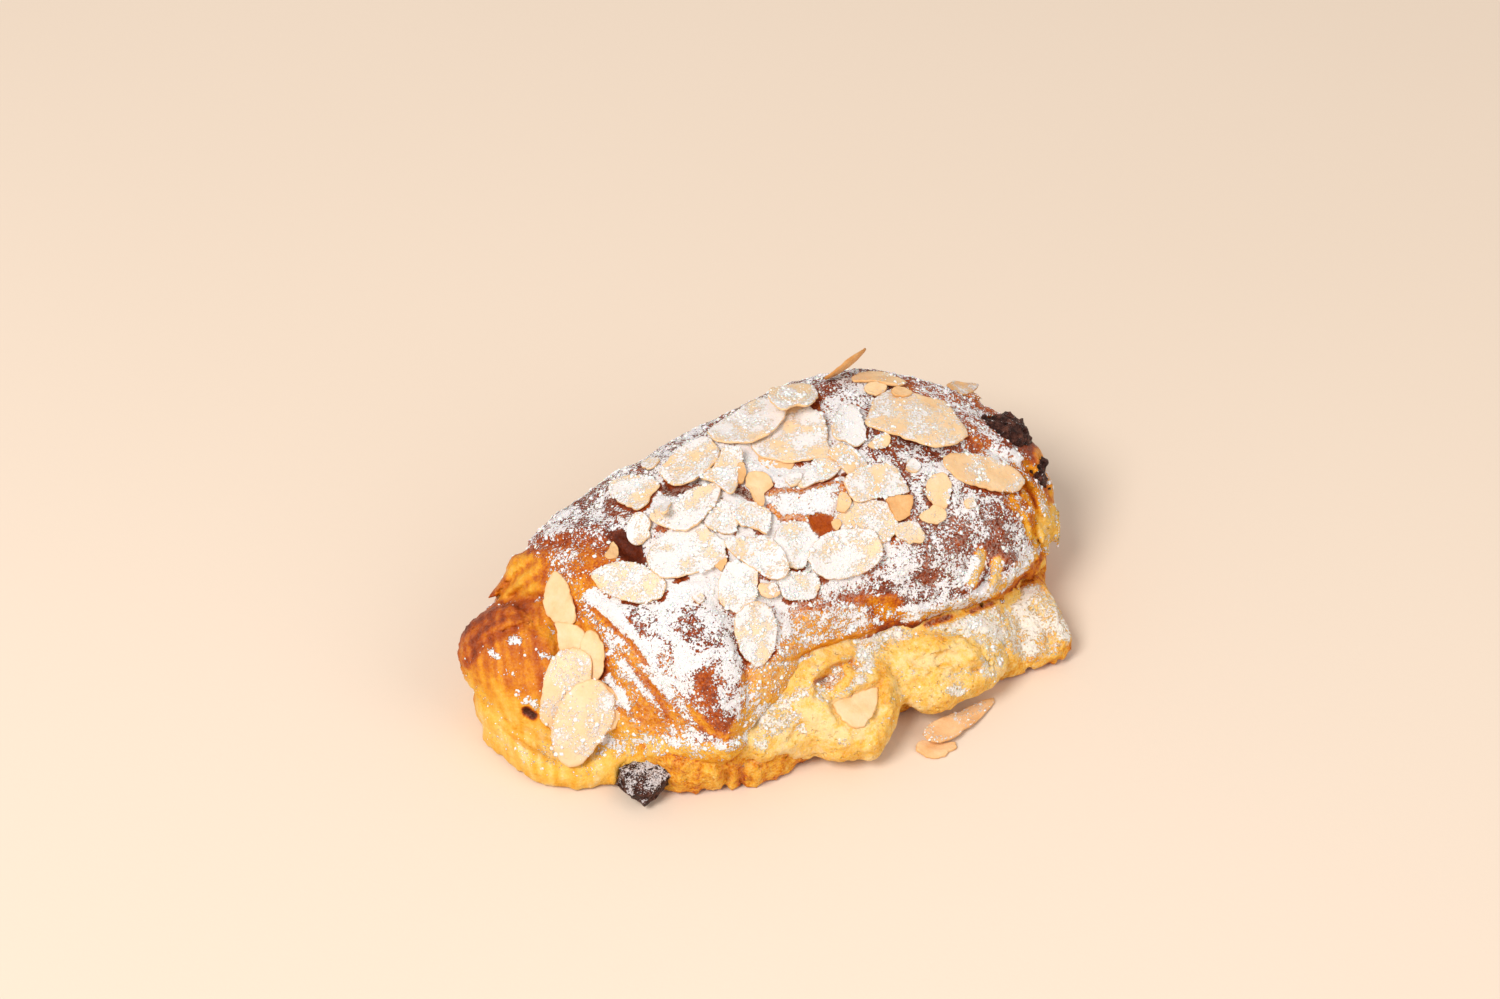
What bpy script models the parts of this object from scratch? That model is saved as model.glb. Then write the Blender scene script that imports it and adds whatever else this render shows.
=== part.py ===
"""Almond croissant: a flattened rolled croissant, split and refilled with almond cream, with two chocolate
sticks running through it and flaked almonds on top.

Frame: metres, +Z up. X runs along the roll, from the folded ear (-X) to the open end (+X); -Y is the side where
the almond cream has run out. The origin is on the resting face, under the middle of the loaf.
All sizes below are in millimetres and are scaled by MM when a mesh is made.
"""

import math

import bmesh
import bpy
import numpy as np
from mathutils import Vector
from mathutils.bvhtree import BVHTree

MM = 0.001
GAP = 0.35  # clearance kept between touching pieces

for old in list(bpy.data.objects):
    bpy.data.objects.remove(old)


# ---------------------------------------------------------------- sizes along the roll
def along(*pairs):
    """A smooth curve through (x, value) stations, flat where neighbouring values turn round."""
    xs = np.array([p[0] for p in pairs], float)
    vs = np.array([p[1] for p in pairs], float)
    d = np.diff(vs) / np.diff(xs)
    m = np.concatenate([[d[0]], np.where(d[:-1] * d[1:] > 0, 2 * d[:-1] * d[1:] / (d[:-1] + d[1:] + 1e-12), 0), [d[-1]]])

    def curve(x):
        x = np.clip(np.asarray(x, float), xs[0], xs[-1])
        i = np.clip(np.searchsorted(xs, x) - 1, 0, len(xs) - 2)
        h = xs[i + 1] - xs[i]
        t = (x - xs[i]) / h
        a, b = vs[i], vs[i + 1]
        return (
            a * (1 + 2 * t) * (1 - t) ** 2
            + b * t * t * (3 - 2 * t)
            + h * m[i] * t * (1 - t) ** 2
            - h * m[i + 1] * t * t * (1 - t)
        )

    return curve


# crust (upper half): outline in plan, ridge and rim
LENGTH_LEFT, LENGTH_RIGHT = -70.0, 73.0
crust_back = along((-70, 21), (-67, 25), (-61, 29), (-54, 33), (-46, 36), (-36, 38.5), (-20, 41), (0, 43), (20, 45.5), (34, 45.5), (48, 41), (56, 36.5), (62, 30), (66, 23), (69, 16), (71.5, 12), (73, 9))
crust_front = along((-70, 14), (-67, 6), (-62, -2), (-56, -8), (-50, -13.5), (-44, -19.5), (-38, -26.5), (-33, -31.5), (-28, -30), (-20, -27), (-9, -24), (7, -23), (26, -25.5), (42, -25.5), (54, -21.5), (62, -16.5), (68, -12), (71, -6), (73, 0))
ridge_z = along((-70, 19), (-66, 23.5), (-62, 25.5), (-56, 28.5), (-50, 33.5), (-44, 38), (-36, 42), (-20, 45), (0, 47), (25, 47), (45, 44.5), (58, 40), (66, 35), (71, 29), (73, 24))
ridge_y = along((-70, 18.5), (-62, 16), (-50, 13), (-30, 12), (0, 14), (25, 17), (45, 15), (60, 9), (73, 4.5))
rim_z = along((-70, 12), (-66, 8.5), (-60, 7.5), (-50, 7.5), (-40, 9.5), (-32, 12), (-20, 16), (-9, 18.5), (7, 18.5), (26, 17), (42, 15), (58, 13), (66, 12), (73, 13))
widest_z = along((-70, 15), (-60, 15), (-40, 20), (0, 22), (40, 22), (73, 20))
under_z = along((-70, 12), (-66, 8.6), (-60, 7.8), (-50, 11), (-44, 16), (-30, 18.5), (0, 19), (40, 18), (60, 16.5), (73, 15))
cream_thick = along((-60, 1.2), (-48, 2.2), (-40, 4), (-20, 5), (40, 5), (66, 3.5), (73, 3))

CRUST_STATIONS = 45

# base (lower half)
BASE_LEFT, BASE_RIGHT = -69.5, 71.0
base_front = along((-69.5, 8), (-69, 2), (-67, -5), (-63, -10.5), (-57, -14.5), (-50, -17.5), (-45, -21.5), (-42, -26), (-37, -29), (-30, -31.2), (-21.5, -33.2), (-14, -33.4), (-6, -32), (10, -31), (30, -32), (44, -35), (54, -37), (57, -35.5), (58.5, -26), (61, -18), (65, -12), (69, -5), (71, 2))
base_back = along((-69.5, 14), (-68, 19), (-62, 24), (-54, 29), (-40, 34), (-20, 37), (0, 39), (20, 41.5), (34, 41.5), (48, 37.5), (58, 30.5), (65, 21), (71, 9))

slab_drop = along((34, 0), (44, 4), (54, 5.2), (58, 4.5), (63, 0))  # the uncovered shelf at the right slopes down to its edge

# almond cream that has run out along the front
OOZE_LEFT, OOZE_RIGHT = -38.0, 46.0
ooze_y = along((-38, -25), (-30, -28), (-23, -30.5), (-19, -32), (-15, -34), (-10, -37.4), (-6, -39.8), (-1.7, -41), (3.2, -39.6), (7.7, -37.1), (11, -34.8), (14.8, -36), (18.6, -38.2), (23.4, -39), (30.4, -38.4), (35.3, -36.9), (38, -34.8), (42, -31), (46, -27))
ooze_top = along((-38, 10), (-28, 14.5), (-20, 17), (-8, 17.6), (4, 17.6), (8, 16.6), (11, 15), (16, 16), (22, 17), (30, 15.5), (37, 13.5), (46, 12))
ooze_low = along((-38, 6), (-28, 6.5), (-21, 5.5), (-15, 1.5), (-10, 0.5), (0, 0.5), (4, 1.5), (7.7, 3.5), (11, 6.5), (14.8, 3), (20, 2.4), (30, 2.6), (36, 4), (46, 5))


# ---------------------------------------------------------------- folds on the crust
def bump(x, y, cx, cy, rx, ry, turn=0.0):
    a = math.radians(turn)
    u, v = (x - cx) * math.cos(a) + (y - cy) * math.sin(a), (y - cy) * math.cos(a) - (x - cx) * math.sin(a)
    return np.exp(-((u / rx) ** 2) - (v / ry) ** 2)


def groove(x, y, start, end, half_width):
    """1 on the line from start to end, fading to 0 across half_width."""
    a, b = np.array(start, float), np.array(end, float)
    length = np.hypot(*(b - a))
    t = (b - a) / length
    s = (x - a[0]) * t[0] + (y - a[1]) * t[1]
    d = (y - a[1]) * t[0] - (x - a[0]) * t[1]
    past = np.maximum(0, np.maximum(-s, s - length))
    return np.exp(-((d / half_width) ** 2) - (past / (1.6 * half_width)) ** 2)


def relief(x, y):
    """Height added to the smooth crust: the ear, the last turn of the roll, the flap and the folds beside it."""
    z = 2.6 * bump(x, y, -60, 13, 7, 9, -15)
    z -= 2.8 * groove(x, y, (-55, 24), (-50, -6), 3.2)
    z -= 1.5 * groove(x, y, (-43, 3), (-36, -24), 1.9)
    z -= 1.3 * groove(x, y, (-38, 1), (-31, -22), 1.8)
    z -= 1.8 * groove(x, y, (-22, -14), (-24, -30), 2.2)
    z += 1.2 * bump(x, y, -30, -20, 6, 9, 10)
    z += 1.3 * bump(x, y, 8, 2, 9, 7)
    z -= 1.6 * bump(x, y, 3, -2, 4, 3)
    z -= 1.4 * groove(x, y, (60, 22), (64, -10), 2.6)
    z += 1.0 * bump(x, y, 40, -18, 16, 4, 4)
    return z + 0.55 * np.sin(0.21 * x + 0.16 * y + 1.0) * np.sin(0.19 * y - 0.08 * x + 0.4)


# ---------------------------------------------------------------- cross-sections, each a loop of (y, z)
def quarter(n, power):
    """Points of a superellipse quarter, from (1, 0) to (0, 1)."""
    a = np.linspace(0, math.pi / 2, n)
    return np.cos(a) ** (2 / power), np.sin(a) ** (2 / power)


def crust_section(x):
    yf, yb, h, yr = crust_front(x), crust_back(x), ridge_z(x), ridge_y(x)
    zf, zm, u = rim_z(x), widest_z(x), under_z(x)
    zf, u = min(zf, h - 4), min(u, h - 4)
    zm = max(zm, u + 1.5)
    c, s = quarter(13, 2.15)
    front = [(yr - (yr - yf) * a, zf + 2 + (h - zf - 2) * b) for a, b in zip(c, s)]
    c, s = quarter(10, 2.6)
    back = [(yr + (yb - yr) * a, zm + (h - zm) * b) for a, b in zip(c[::-1], s[::-1])][1:]
    top = []
    for y, z in front + back:
        k = float(np.clip((z - zf - 2) / (h - zf - 2), 0, 1)) ** 0.6
        top.append((y, z + k * float(relief(x, y))))
    narrow = min(1.0, (yb - yf) / 20)
    back_in, lip_in = yb - 3.0 * narrow, yf + 6.5 * narrow
    lower = [(yb - 1.0 * narrow, (zm + u) / 2), (back_in, u)]
    inside = [(back_in + (lip_in - back_in) * t, u) for t in (0.25, 0.5, 0.75)]
    lip = [(lip_in, u), (yf + 2.2 * narrow, min(zf + 0.2, u)), (yf + 0.6 * narrow, zf + 0.6)]
    return top + lower + inside + lip


def base_section(x):
    yf, yb = base_front(x), base_back(x)
    top, low = under_z(x) - cream_thick(x), 0.0
    edge = top - slab_drop(x)
    k = min(1.0, (yb - yf) / 16)
    return [
        (yf + 2.5 * k, low),
        (yf + 0.6 * k, low + min(1.6, top * 0.25)),
        (yf, edge * 0.45),
        (yf + 0.8 * k, edge * 0.8),
        (yf + 2.6 * k, edge),
        (yf + 12 * k, top),
        (yf + (yb - yf) * 0.35, top),
        (yf + (yb - yf) * 0.65, top),
        (yb - 2.4 * k, top),
        (yb, top * 0.72),
        (yb - 1.2 * k, top * 0.38),
        (yb - 5.0 * k, low),
        (yf + (yb - yf) * 0.6, low),
        (yf + (yb - yf) * 0.3, low),
    ]


def cream_section(x):
    yf = max(crust_front(x) + 4.0, base_front(x) + 3.0)
    yb = min(crust_back(x) - 3.6, base_back(x) + 1.0)
    top, low = under_z(x) + 1.2, under_z(x) - cream_thick(x) - 1.2
    m = (top + low) / 2
    return [(yf, low), (yf - 0.8, m), (yf, top), (yf + (yb - yf) / 2, top), (yb, top), (yb + 0.9, m), (yb, low), (yf + (yb - yf) / 2, low)]


def ooze_section(x):
    yo, top, low = ooze_y(x), ooze_top(x), ooze_low(x)
    zm = low + (top - low) * 0.42
    yi = -21.0
    c, s = quarter(7, 2.2)
    upper = [(yi - (yi - yo) * a, zm + (top - zm) * b) for a, b in zip(c[::-1], s[::-1])]
    c, s = quarter(5, 2.4)
    lower = [(yi - (yi - yo) * a, zm - (zm - low) * b) for a, b in zip(c, s)][1:]
    return (upper + lower)[::-1]


# ---------------------------------------------------------------- solids
def stations(left, right, n):
    """Cross-section places, closer together near the two ends."""
    a = np.linspace(0, math.pi, n)
    even = np.linspace(left, right, n)
    return 0.45 * (left + (right - left) * (1 - np.cos(a)) / 2) + 0.55 * even


def loft(name, section, xs, grow=0.0):
    """One closed solid through the sections at xs, its skin moved out by grow."""
    bm = bmesh.new()
    rings = []
    for x in xs:
        rings.append([bm.verts.new((x * MM, y * MM, z * MM)) for y, z in section(float(x))])
    n = len(rings[0])
    for a, b in zip(rings, rings[1:]):
        for i in range(n):
            j = (i + 1) % n
            bm.faces.new((a[i], a[j], b[j], b[i]))
    for ring in (rings[0], rings[-1]):
        middle = bm.verts.new(sum((v.co for v in ring), Vector()) / n)
        for i in range(n):
            bm.faces.new((ring[i], ring[(i + 1) % n], middle))
    bmesh.ops.recalc_face_normals(bm, faces=bm.faces)
    if grow:
        bm.normal_update()
        for v, out in [(v, v.normal * v.calc_shell_factor()) for v in bm.verts]:
            v.co += out * grow * MM
    mesh = bpy.data.meshes.new(name)
    bm.to_mesh(mesh)
    bm.free()
    obj = bpy.data.objects.new(name, mesh)
    bpy.context.scene.collection.objects.link(obj)
    return obj


def material(name, colour, roughness):
    mat = bpy.data.materials.new(name)
    mat.use_nodes = True
    shader = mat.node_tree.nodes["Principled BSDF"]
    shader.inputs["Base Color"].default_value = (*colour, 1)
    shader.inputs["Roughness"].default_value = roughness
    shader.inputs["Metallic"].default_value = 0.0
    return mat


CRUST = material("crust", (0.42, 0.17, 0.045), 0.5)
CRUMB = material("base_crust", (0.62, 0.30, 0.07), 0.55)
CREAM = material("almond_cream", (0.80, 0.55, 0.20), 0.5)
CHOCOLATE = material("chocolate", (0.035, 0.018, 0.014), 0.45)
ALMOND = material("almond", (0.83, 0.66, 0.42), 0.6)


def finish(obj, mat):
    obj.data.materials.clear()
    obj.data.materials.append(mat)
    obj.data.shade_smooth()
    obj.data.set_sharp_from_angle(angle=math.radians(40))
    return obj


def helper(obj):
    obj.hide_render = True
    obj.display_type = "WIRE"
    return obj


def boolean(obj, other, operation):
    mod = obj.modifiers.new(operation.lower() + "_" + other.name, "BOOLEAN")
    mod.operation = operation
    mod.object = other
    mod.solver = "EXACT"


def stick(name, start, end, wide, high, edge, grow=0.0):
    """A bar with rounded edges from start to end."""
    a, b = Vector(start) * MM, Vector(end) * MM
    way = (b - a).normalized()
    mesh = bpy.data.meshes.new(name)
    bm = bmesh.new()
    bmesh.ops.create_cube(bm, size=1.0)
    bmesh.ops.scale(bm, vec=((b - a).length + 2 * grow * MM, (wide + 2 * grow) * MM, (high + 2 * grow) * MM), verts=bm.verts)
    bmesh.ops.bevel(bm, geom=bm.edges[:] + bm.verts[:], offset=(edge + grow * 0.5) * MM, segments=3, profile=0.6, affect="EDGES", clamp_overlap=True)
    bm.to_mesh(mesh)
    bm.free()
    obj = bpy.data.objects.new(name, mesh)
    obj.location = (a + b) / 2
    obj.rotation_mode = "QUATERNION"
    obj.rotation_quaternion = way.to_track_quat("X", "Z")
    bpy.context.scene.collection.objects.link(obj)
    return obj


def settle(obj):
    """Applies the object's modifiers and keeps its largest piece, so thin offcuts beside a bore are dropped."""
    graph = bpy.context.evaluated_depsgraph_get()
    mesh = bpy.data.meshes.new_from_object(obj.evaluated_get(graph), preserve_all_data_layers=True, depsgraph=graph)
    obj.modifiers.clear()
    obj.data = mesh
    bm = bmesh.new()
    bm.from_mesh(mesh)
    bmesh.ops.remove_doubles(bm, verts=bm.verts, dist=0.02 * MM)
    left, pieces = set(bm.verts), []
    while left:
        stack = [left.pop()]
        piece = {stack[0]}
        while stack:
            for edge in stack.pop().link_edges:
                for v in edge.verts:
                    if v in left:
                        left.discard(v)
                        piece.add(v)
                        stack.append(v)
        pieces.append(piece)
    pieces.sort(key=len)
    for piece in pieces[:-1]:
        bmesh.ops.delete(bm, geom=list(piece), context="VERTS")
    bm.to_mesh(mesh)
    bm.free()


# two chocolate sticks through the roll; at the right they rise and come out on the shoulder of its end
STICK_WIDE, STICK_HIGH = 9.5, 6.0
STICKS = {
    "chocolate_front": ((-52.0, -21.5, 4.0), (67.5, -3.0, 27.3)),
    "chocolate_back": ((-64.0, 6.5, 9.5), (67.0, 3.5, 34.7)),
}
cutters = []
for name, (start, end) in STICKS.items():
    finish(stick(name, start, end, STICK_WIDE, STICK_HIGH, 2.2), CHOCOLATE)
    cutters.append(helper(stick(name + "_bore", start, end, STICK_WIDE, STICK_HIGH, 2.2, grow=GAP)))

crust = finish(loft("pastry_top", crust_section, stations(LENGTH_LEFT, LENGTH_RIGHT, CRUST_STATIONS)), CRUST)
base = finish(loft("pastry_base", base_section, stations(BASE_LEFT, BASE_RIGHT, 25)), CRUMB)
cream = finish(loft("almond_cream", cream_section, stations(-44, 67, 25)), CREAM)
ooze = helper(loft("ooze", ooze_section, stations(OOZE_LEFT, OOZE_RIGHT, 31)))
crust_grown = helper(loft("top_clearance", crust_section, stations(LENGTH_LEFT, LENGTH_RIGHT, CRUST_STATIONS), 1.5 * GAP))
base_grown = helper(loft("base_clearance", base_section, stations(BASE_LEFT, BASE_RIGHT, 25), 1.3 * GAP))

boolean(cream, ooze, "UNION")
boolean(base, crust_grown, "DIFFERENCE")
boolean(cream, crust_grown, "DIFFERENCE")
boolean(cream, base_grown, "DIFFERENCE")
for bore in cutters:
    boolean(cream, bore, "DIFFERENCE")
    boolean(base, bore, "DIFFERENCE")
    boolean(crust, bore, "DIFFERENCE")
for solid in (crust, base, cream):
    settle(solid)
    finish(solid, solid.data.materials[0])

# ---------------------------------------------------------------- flaked almonds, each laid on what is under it
THICK = 1.0
CELL = 1.0
GRID_X = np.arange(-80.0, 85.0, CELL)
GRID_Y = np.arange(-52.0, 56.0, CELL)


def tree_of(obj):
    return BVHTree.FromPolygons([v.co for v in obj.data.vertices], [tuple(p.vertices) for p in obj.data.polygons])


trees = [tree_of(solid) for solid in (crust, base, cream)]
support = np.full((len(GRID_X), len(GRID_Y)), -GAP)
for i, gx in enumerate(GRID_X):
    for j, gy in enumerate(GRID_Y):
        for tree in trees:
            hit = tree.ray_cast(Vector((gx * MM, gy * MM, 0.2)), Vector((0, 0, -1)))[0]
            if hit:
                support[i, j] = max(support[i, j], hit.z / MM)


def height_at(x, y, floor=False):
    """The support height at points, between grid cells."""
    if floor:
        return np.zeros(np.shape(x)) - GAP
    fx = np.clip((np.asarray(x) - GRID_X[0]) / CELL, 0, len(GRID_X) - 1.001)
    fy = np.clip((np.asarray(y) - GRID_Y[0]) / CELL, 0, len(GRID_Y) - 1.001)
    i, j = fx.astype(int), fy.astype(int)
    a, b = fx - i, fy - j
    return (
        support[i, j] * (1 - a) * (1 - b)
        + support[i + 1, j] * a * (1 - b)
        + support[i, j + 1] * (1 - a) * b
        + support[i + 1, j + 1] * a * b
    )


def outline(kind, length, width, seed, n=14):
    """The flake's edge as (u, v), u along its length with the point of the almond at +u."""
    t = np.arange(n) * 2 * math.pi / n + 0.5 * math.pi / n
    power = {"almond": 1.0, "oval": 1.0, "chip": 0.6, "strip": 0.75}[kind]
    c, s = np.cos(t), np.sin(t)
    u, v = np.sign(c) * abs(c) ** power, np.sign(s) * abs(s) ** power
    if kind == "almond":
        v = v * (1 - 0.34 * np.clip(c, 0, 1) ** 1.5)
    r = 1 + 0.035 * np.sin(2 * t + seed) + 0.03 * np.sin(3 * t + 2.1 * seed)
    if kind == "chip":
        r = r + 0.07 * np.sin(4 * t + 1.7 * seed)
    u, v = u * r, v * r
    return u / abs(u).max() * length / 2, v / abs(v).max() * width / 2


def flake(name, x, y, turn, length, width, kind, seed, bend=0.6, steepest=58.0, lean=None, floor=False):
    """A thin plate on the support at (x, y): it follows the slope and part of the curve below, and clears it by GAP."""
    global support
    ou, ov = outline(kind, length, width, seed)
    a = math.radians(turn)
    way = np.array([math.cos(a), math.sin(a), 0.0])
    # sample places over the plate
    su = np.concatenate([ou * k for k in (0.0, 0.35, 0.7, 1.0)])
    sv = np.concatenate([ov * k for k in (0.0, 0.35, 0.7, 1.0)])
    px, py = x + su * way[0] - sv * way[1], y + su * way[1] + sv * way[0]
    h = height_at(px, py, floor)
    fit = np.linalg.lstsq(np.stack([np.ones_like(px), px - x, py - y], 1), h, rcond=None)[0]
    normal = np.array([-fit[1], -fit[2], 1.0])
    normal /= np.linalg.norm(normal)
    slope = math.degrees(math.acos(normal[2]))
    if slope > steepest:
        side = normal[:2] / np.linalg.norm(normal[:2])
        k = math.radians(steepest)
        normal = np.array([side[0] * math.sin(k), side[1] * math.sin(k), math.cos(k)])
    if lean is not None:
        normal = np.array(lean, float) / np.linalg.norm(lean)
    u_dir = way - normal * (way @ normal)
    u_dir /= np.linalg.norm(u_dir)
    v_dir = np.cross(normal, u_dir)
    middle = np.array([x, y, float(height_at(x, y, floor))])

    def curve(u, v, q):
        return q[0] * u * u + q[1] * u * v + q[2] * v * v

    q = np.zeros(3)
    p = middle + np.outer(su, u_dir) + np.outer(sv, v_dir)
    gap = (height_at(p[:, 0], p[:, 1], floor) - p[:, 2]) * normal[2]
    m = np.stack([np.ones_like(su), su, sv, su * su, su * sv, sv * sv], 1)
    full = np.linalg.lstsq(m, gap, rcond=None)[0]
    most = 0.022
    q = np.clip(full[3:] * bend, -most, most)
    for _ in range(6):
        w = curve(su, sv, q)
        p = middle + np.outer(su, u_dir) + np.outer(sv, v_dir) + np.outer(w, normal)
        short = GAP + 0.1 - ((p[:, 2] - height_at(p[:, 0], p[:, 1], floor)) * normal[2]).min()
        middle = middle + normal * short
        if abs(short) < 0.02:
            break
    n = len(ou)
    rings = [(0.93, 0.0), (1.0, 0.45), (0.95, THICK)]
    bm = bmesh.new()
    local = []
    for k, z in rings:
        ring = []
        for u, v in zip(ou * k, ov * k):
            c = u * u_dir + v * v_dir + (z + curve(u, v, q)) * normal
            ring.append(bm.verts.new(c * MM))
        local.append(ring)
    for lower, upper in zip(local, local[1:]):
        for i in range(n):
            j = (i + 1) % n
            bm.faces.new((lower[i], lower[j], upper[j], upper[i]))
    for ring, z in ((local[0], 0.0), (local[-1], THICK)):
        centre = bm.verts.new(normal * (z * MM))
        for i in range(n):
            bm.faces.new((ring[i], ring[(i + 1) % n], centre))
    bmesh.ops.recalc_face_normals(bm, faces=bm.faces)
    mesh = bpy.data.meshes.new(name)
    bm.to_mesh(mesh)
    bm.free()
    obj = bpy.data.objects.new(name, mesh)
    obj.location = middle * MM
    bpy.context.scene.collection.objects.link(obj)
    finish(obj, ALMOND)
    # the flake's own top is now part of the support
    det = u_dir[0] * v_dir[1] - u_dir[1] * v_dir[0]
    gx, gy = np.meshgrid(GRID_X - middle[0], GRID_Y - middle[1], indexing="ij")
    gu = (gx * v_dir[1] - gy * v_dir[0]) / det
    gv = (gy * u_dir[0] - gx * u_dir[1]) / det
    edge = np.interp(np.arctan2(gv / (width / 2), gu / (length / 2)) % (2 * math.pi), *edge_table(ou, ov, length, width))
    inside = np.hypot(gu / (length / 2), gv / (width / 2)) < edge + 1.6 / width
    top = middle[2] + gu * u_dir[2] + gv * v_dir[2] + (THICK + curve(gu, gv, q)) * normal[2]
    support = np.where(inside, np.maximum(support, top + THICK * (1 / normal[2] - 1)), support)
    return obj


def edge_table(ou, ov, length, width):
    t = np.arctan2(ov / (width / 2), ou / (length / 2)) % (2 * math.pi)
    r = np.hypot(ou / (length / 2), ov / (width / 2))
    order = np.argsort(t)
    t, r = t[order], r[order]
    return np.concatenate([[t[-1] - 2 * math.pi], t, [t[0] + 2 * math.pi]]), np.concatenate([[r[-1]], r, [r[0]]])


# name: x, y, turn, length, width, kind (in the order they fell)
FLAKES = {
    "flake_03": (-49.1, 10.3, -124, 13.4, 8.0, "almond"),
    "flake_01": (-51.1, 2.9, -34, 7.7, 6.3, "chip"),
    "flake_02": (-47.8, -3.3, 49, 10.4, 4.9, "chip"),
    "flake_05": (-55.9, -4.2, 41, 20.4, 12.0, "oval"),
    "flake_04": (-55.9, -9.9, 28, 20.5, 12.6, "oval"),
    "flake_06": (-36.7, 1.1, -61, 17.8, 9.0, "almond"),
    "flake_07": (-24.6, -0.8, -13, 17.6, 12.4, "oval"),
    "flake_08": (-13.8, 2.6, 65, 9.5, 6.6, "chip"),
    "flake_09": (-17.9, 7.9, 4, 16.8, 9.6, "almond"),
    "flake_10": (-23.9, 22.3, -76, 14.1, 10.0, "oval"),
    "flake_12": (-5.7, 12.9, 34, 14.4, 8.9, "oval"),
    "flake_11": (-9.0, 20.4, 21, 16.8, 11.1, "almond"),
    "flake_14": (-18.0, -11.4, -118, 11.0, 8.7, "chip"),
    "flake_15": (-1.7, -8.8, -109, 12.4, 8.1, "oval"),
    "flake_16": (-4.9, -16.1, -22, 9.7, 5.9, "chip"),
    "flake_17": (-10.8, -8.8, -67, 16.0, 8.6, "almond"),
    "flake_13": (-8.1, -0.5, -56, 9.7, 6.7, "chip"),
    "flake_18": (-19.1, -20.2, -93, 13.8, 10.1, "almond"),
    "flake_19": (16.5, -10.0, 4, 12.4, 11.6, "chip"),
    "flake_20": (7.3, -13.5, -10, 18.0, 11.1, "oval"),
    "flake_21": (-2.8, 5.5, -110, 10.8, 5.9, "chip"),
    "flake_22": (12.7, 3.4, 4, 13.7, 5.9, "oval"),
    "flake_24": (13.5, 15.3, 18, 19.9, 14.4, "oval"),
    "flake_23": (6.7, 23.5, 19, 20.5, 14.1, "oval"),
    "flake_25": (19.3, 27.0, -113, 12.1, 11.3, "almond"),
    "flake_26": (25.2, 12.5, -122, 15.6, 7.9, "oval"),
    "flake_27": (18.8, 3.4, -82, 9.1, 7.9, "chip"),
    "flake_28": (21.3, -3.9, -12, 14.4, 9.0, "chip"),
    "flake_29": (35.2, -9.6, 50, 9.7, 6.1, "chip"),
    "flake_30": (23.7, -9.8, -2, 6.9, 6.1, "chip"),
    "flake_31": (29.4, 6.3, 20, 6.1, 4.1, "strip"),
    "flake_32": (41.4, 25.0, -40, 12.9, 8.4, "strip"),
    "flake_33": (40.7, 8.6, -40, 23.5, 16.5, "oval"),
    "flake_34": (47.6, -8.3, -19, 21.5, 9.8, "oval"),
    "flake_35": (-1.8, -35.3, 0, 11.9, 7.4, "chip"),
}
for seed, (name, (x, y, turn, length, width, kind)) in enumerate(FLAKES.items()):
    flake(name, x, y, turn, length, width, kind, seed * 1.3)
flake("flake_36", 38.1, 29.0, 6, 14.0, 6.4, "almond", 2.0, bend=0.0, lean=(-0.24, 0.78, 0.53))
flake("flake_37", 15.0, -43.6, -10, 9.5, 5.0, "chip", 4.0, lean=(0, 0, 1), floor=True)
flake("flake_38", 23.0, -39.5, -8, 18.5, 8.0, "almond", 5.0, bend=0.0, lean=(0.085, 0.03, 1), floor=True)

# ---------------------------------------------------------------- the origin under the middle of the whole
bpy.context.view_layer.update()
solids = [obj for obj in bpy.data.objects if not obj.hide_render]
corners = np.array([(obj.matrix_world @ v.co)[:] for obj in solids for v in obj.data.vertices])
centre = (corners.min(axis=0) + corners.max(axis=0)) / 2
for obj in bpy.data.objects:
    obj.location.x -= centre[0]
    obj.location.y -= centre[1]
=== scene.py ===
"""Looks of the almond and chocolate croissant: the pieces that stand for the CAD nodes, their materials, floor, light and camera.

Lengths are in millimetres in the row's frame until a mesh is made. Places on the object are found by sending a ray
from the photograph's viewpoint on to the CAD solids, so each fold, patch of browning and flake sits on the surface.
"""

import math

import bpy
import numpy as np
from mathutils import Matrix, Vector
from mathutils.bvhtree import BVHTree


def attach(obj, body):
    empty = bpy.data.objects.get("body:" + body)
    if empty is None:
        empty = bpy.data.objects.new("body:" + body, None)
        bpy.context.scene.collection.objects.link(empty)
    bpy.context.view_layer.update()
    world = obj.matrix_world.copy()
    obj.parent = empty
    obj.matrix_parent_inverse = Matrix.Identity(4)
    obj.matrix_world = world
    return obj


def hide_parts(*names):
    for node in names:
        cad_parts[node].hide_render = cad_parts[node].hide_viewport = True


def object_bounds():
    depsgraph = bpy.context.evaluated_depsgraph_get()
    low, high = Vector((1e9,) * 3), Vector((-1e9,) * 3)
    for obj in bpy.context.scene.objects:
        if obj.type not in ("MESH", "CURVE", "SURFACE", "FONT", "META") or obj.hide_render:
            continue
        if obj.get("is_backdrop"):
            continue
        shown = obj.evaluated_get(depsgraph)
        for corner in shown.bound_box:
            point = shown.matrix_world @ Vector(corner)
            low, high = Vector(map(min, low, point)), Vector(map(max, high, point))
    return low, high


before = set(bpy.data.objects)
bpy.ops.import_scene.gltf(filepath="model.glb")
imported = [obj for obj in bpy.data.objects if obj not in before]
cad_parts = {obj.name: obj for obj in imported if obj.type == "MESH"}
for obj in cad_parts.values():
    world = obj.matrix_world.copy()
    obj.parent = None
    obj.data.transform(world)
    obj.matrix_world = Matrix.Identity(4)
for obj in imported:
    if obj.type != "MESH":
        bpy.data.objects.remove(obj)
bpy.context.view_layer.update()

MM = 0.001
SHIFT = np.array([-1.5, 0.4341, 0.0])  # row frame = part.py's design frame + SHIFT
EYE = np.array([-301.640, -482.730, 569.22]) + SHIFT
AIM = np.array([21.746, 48.375, 0.0]) + SHIFT
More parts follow.
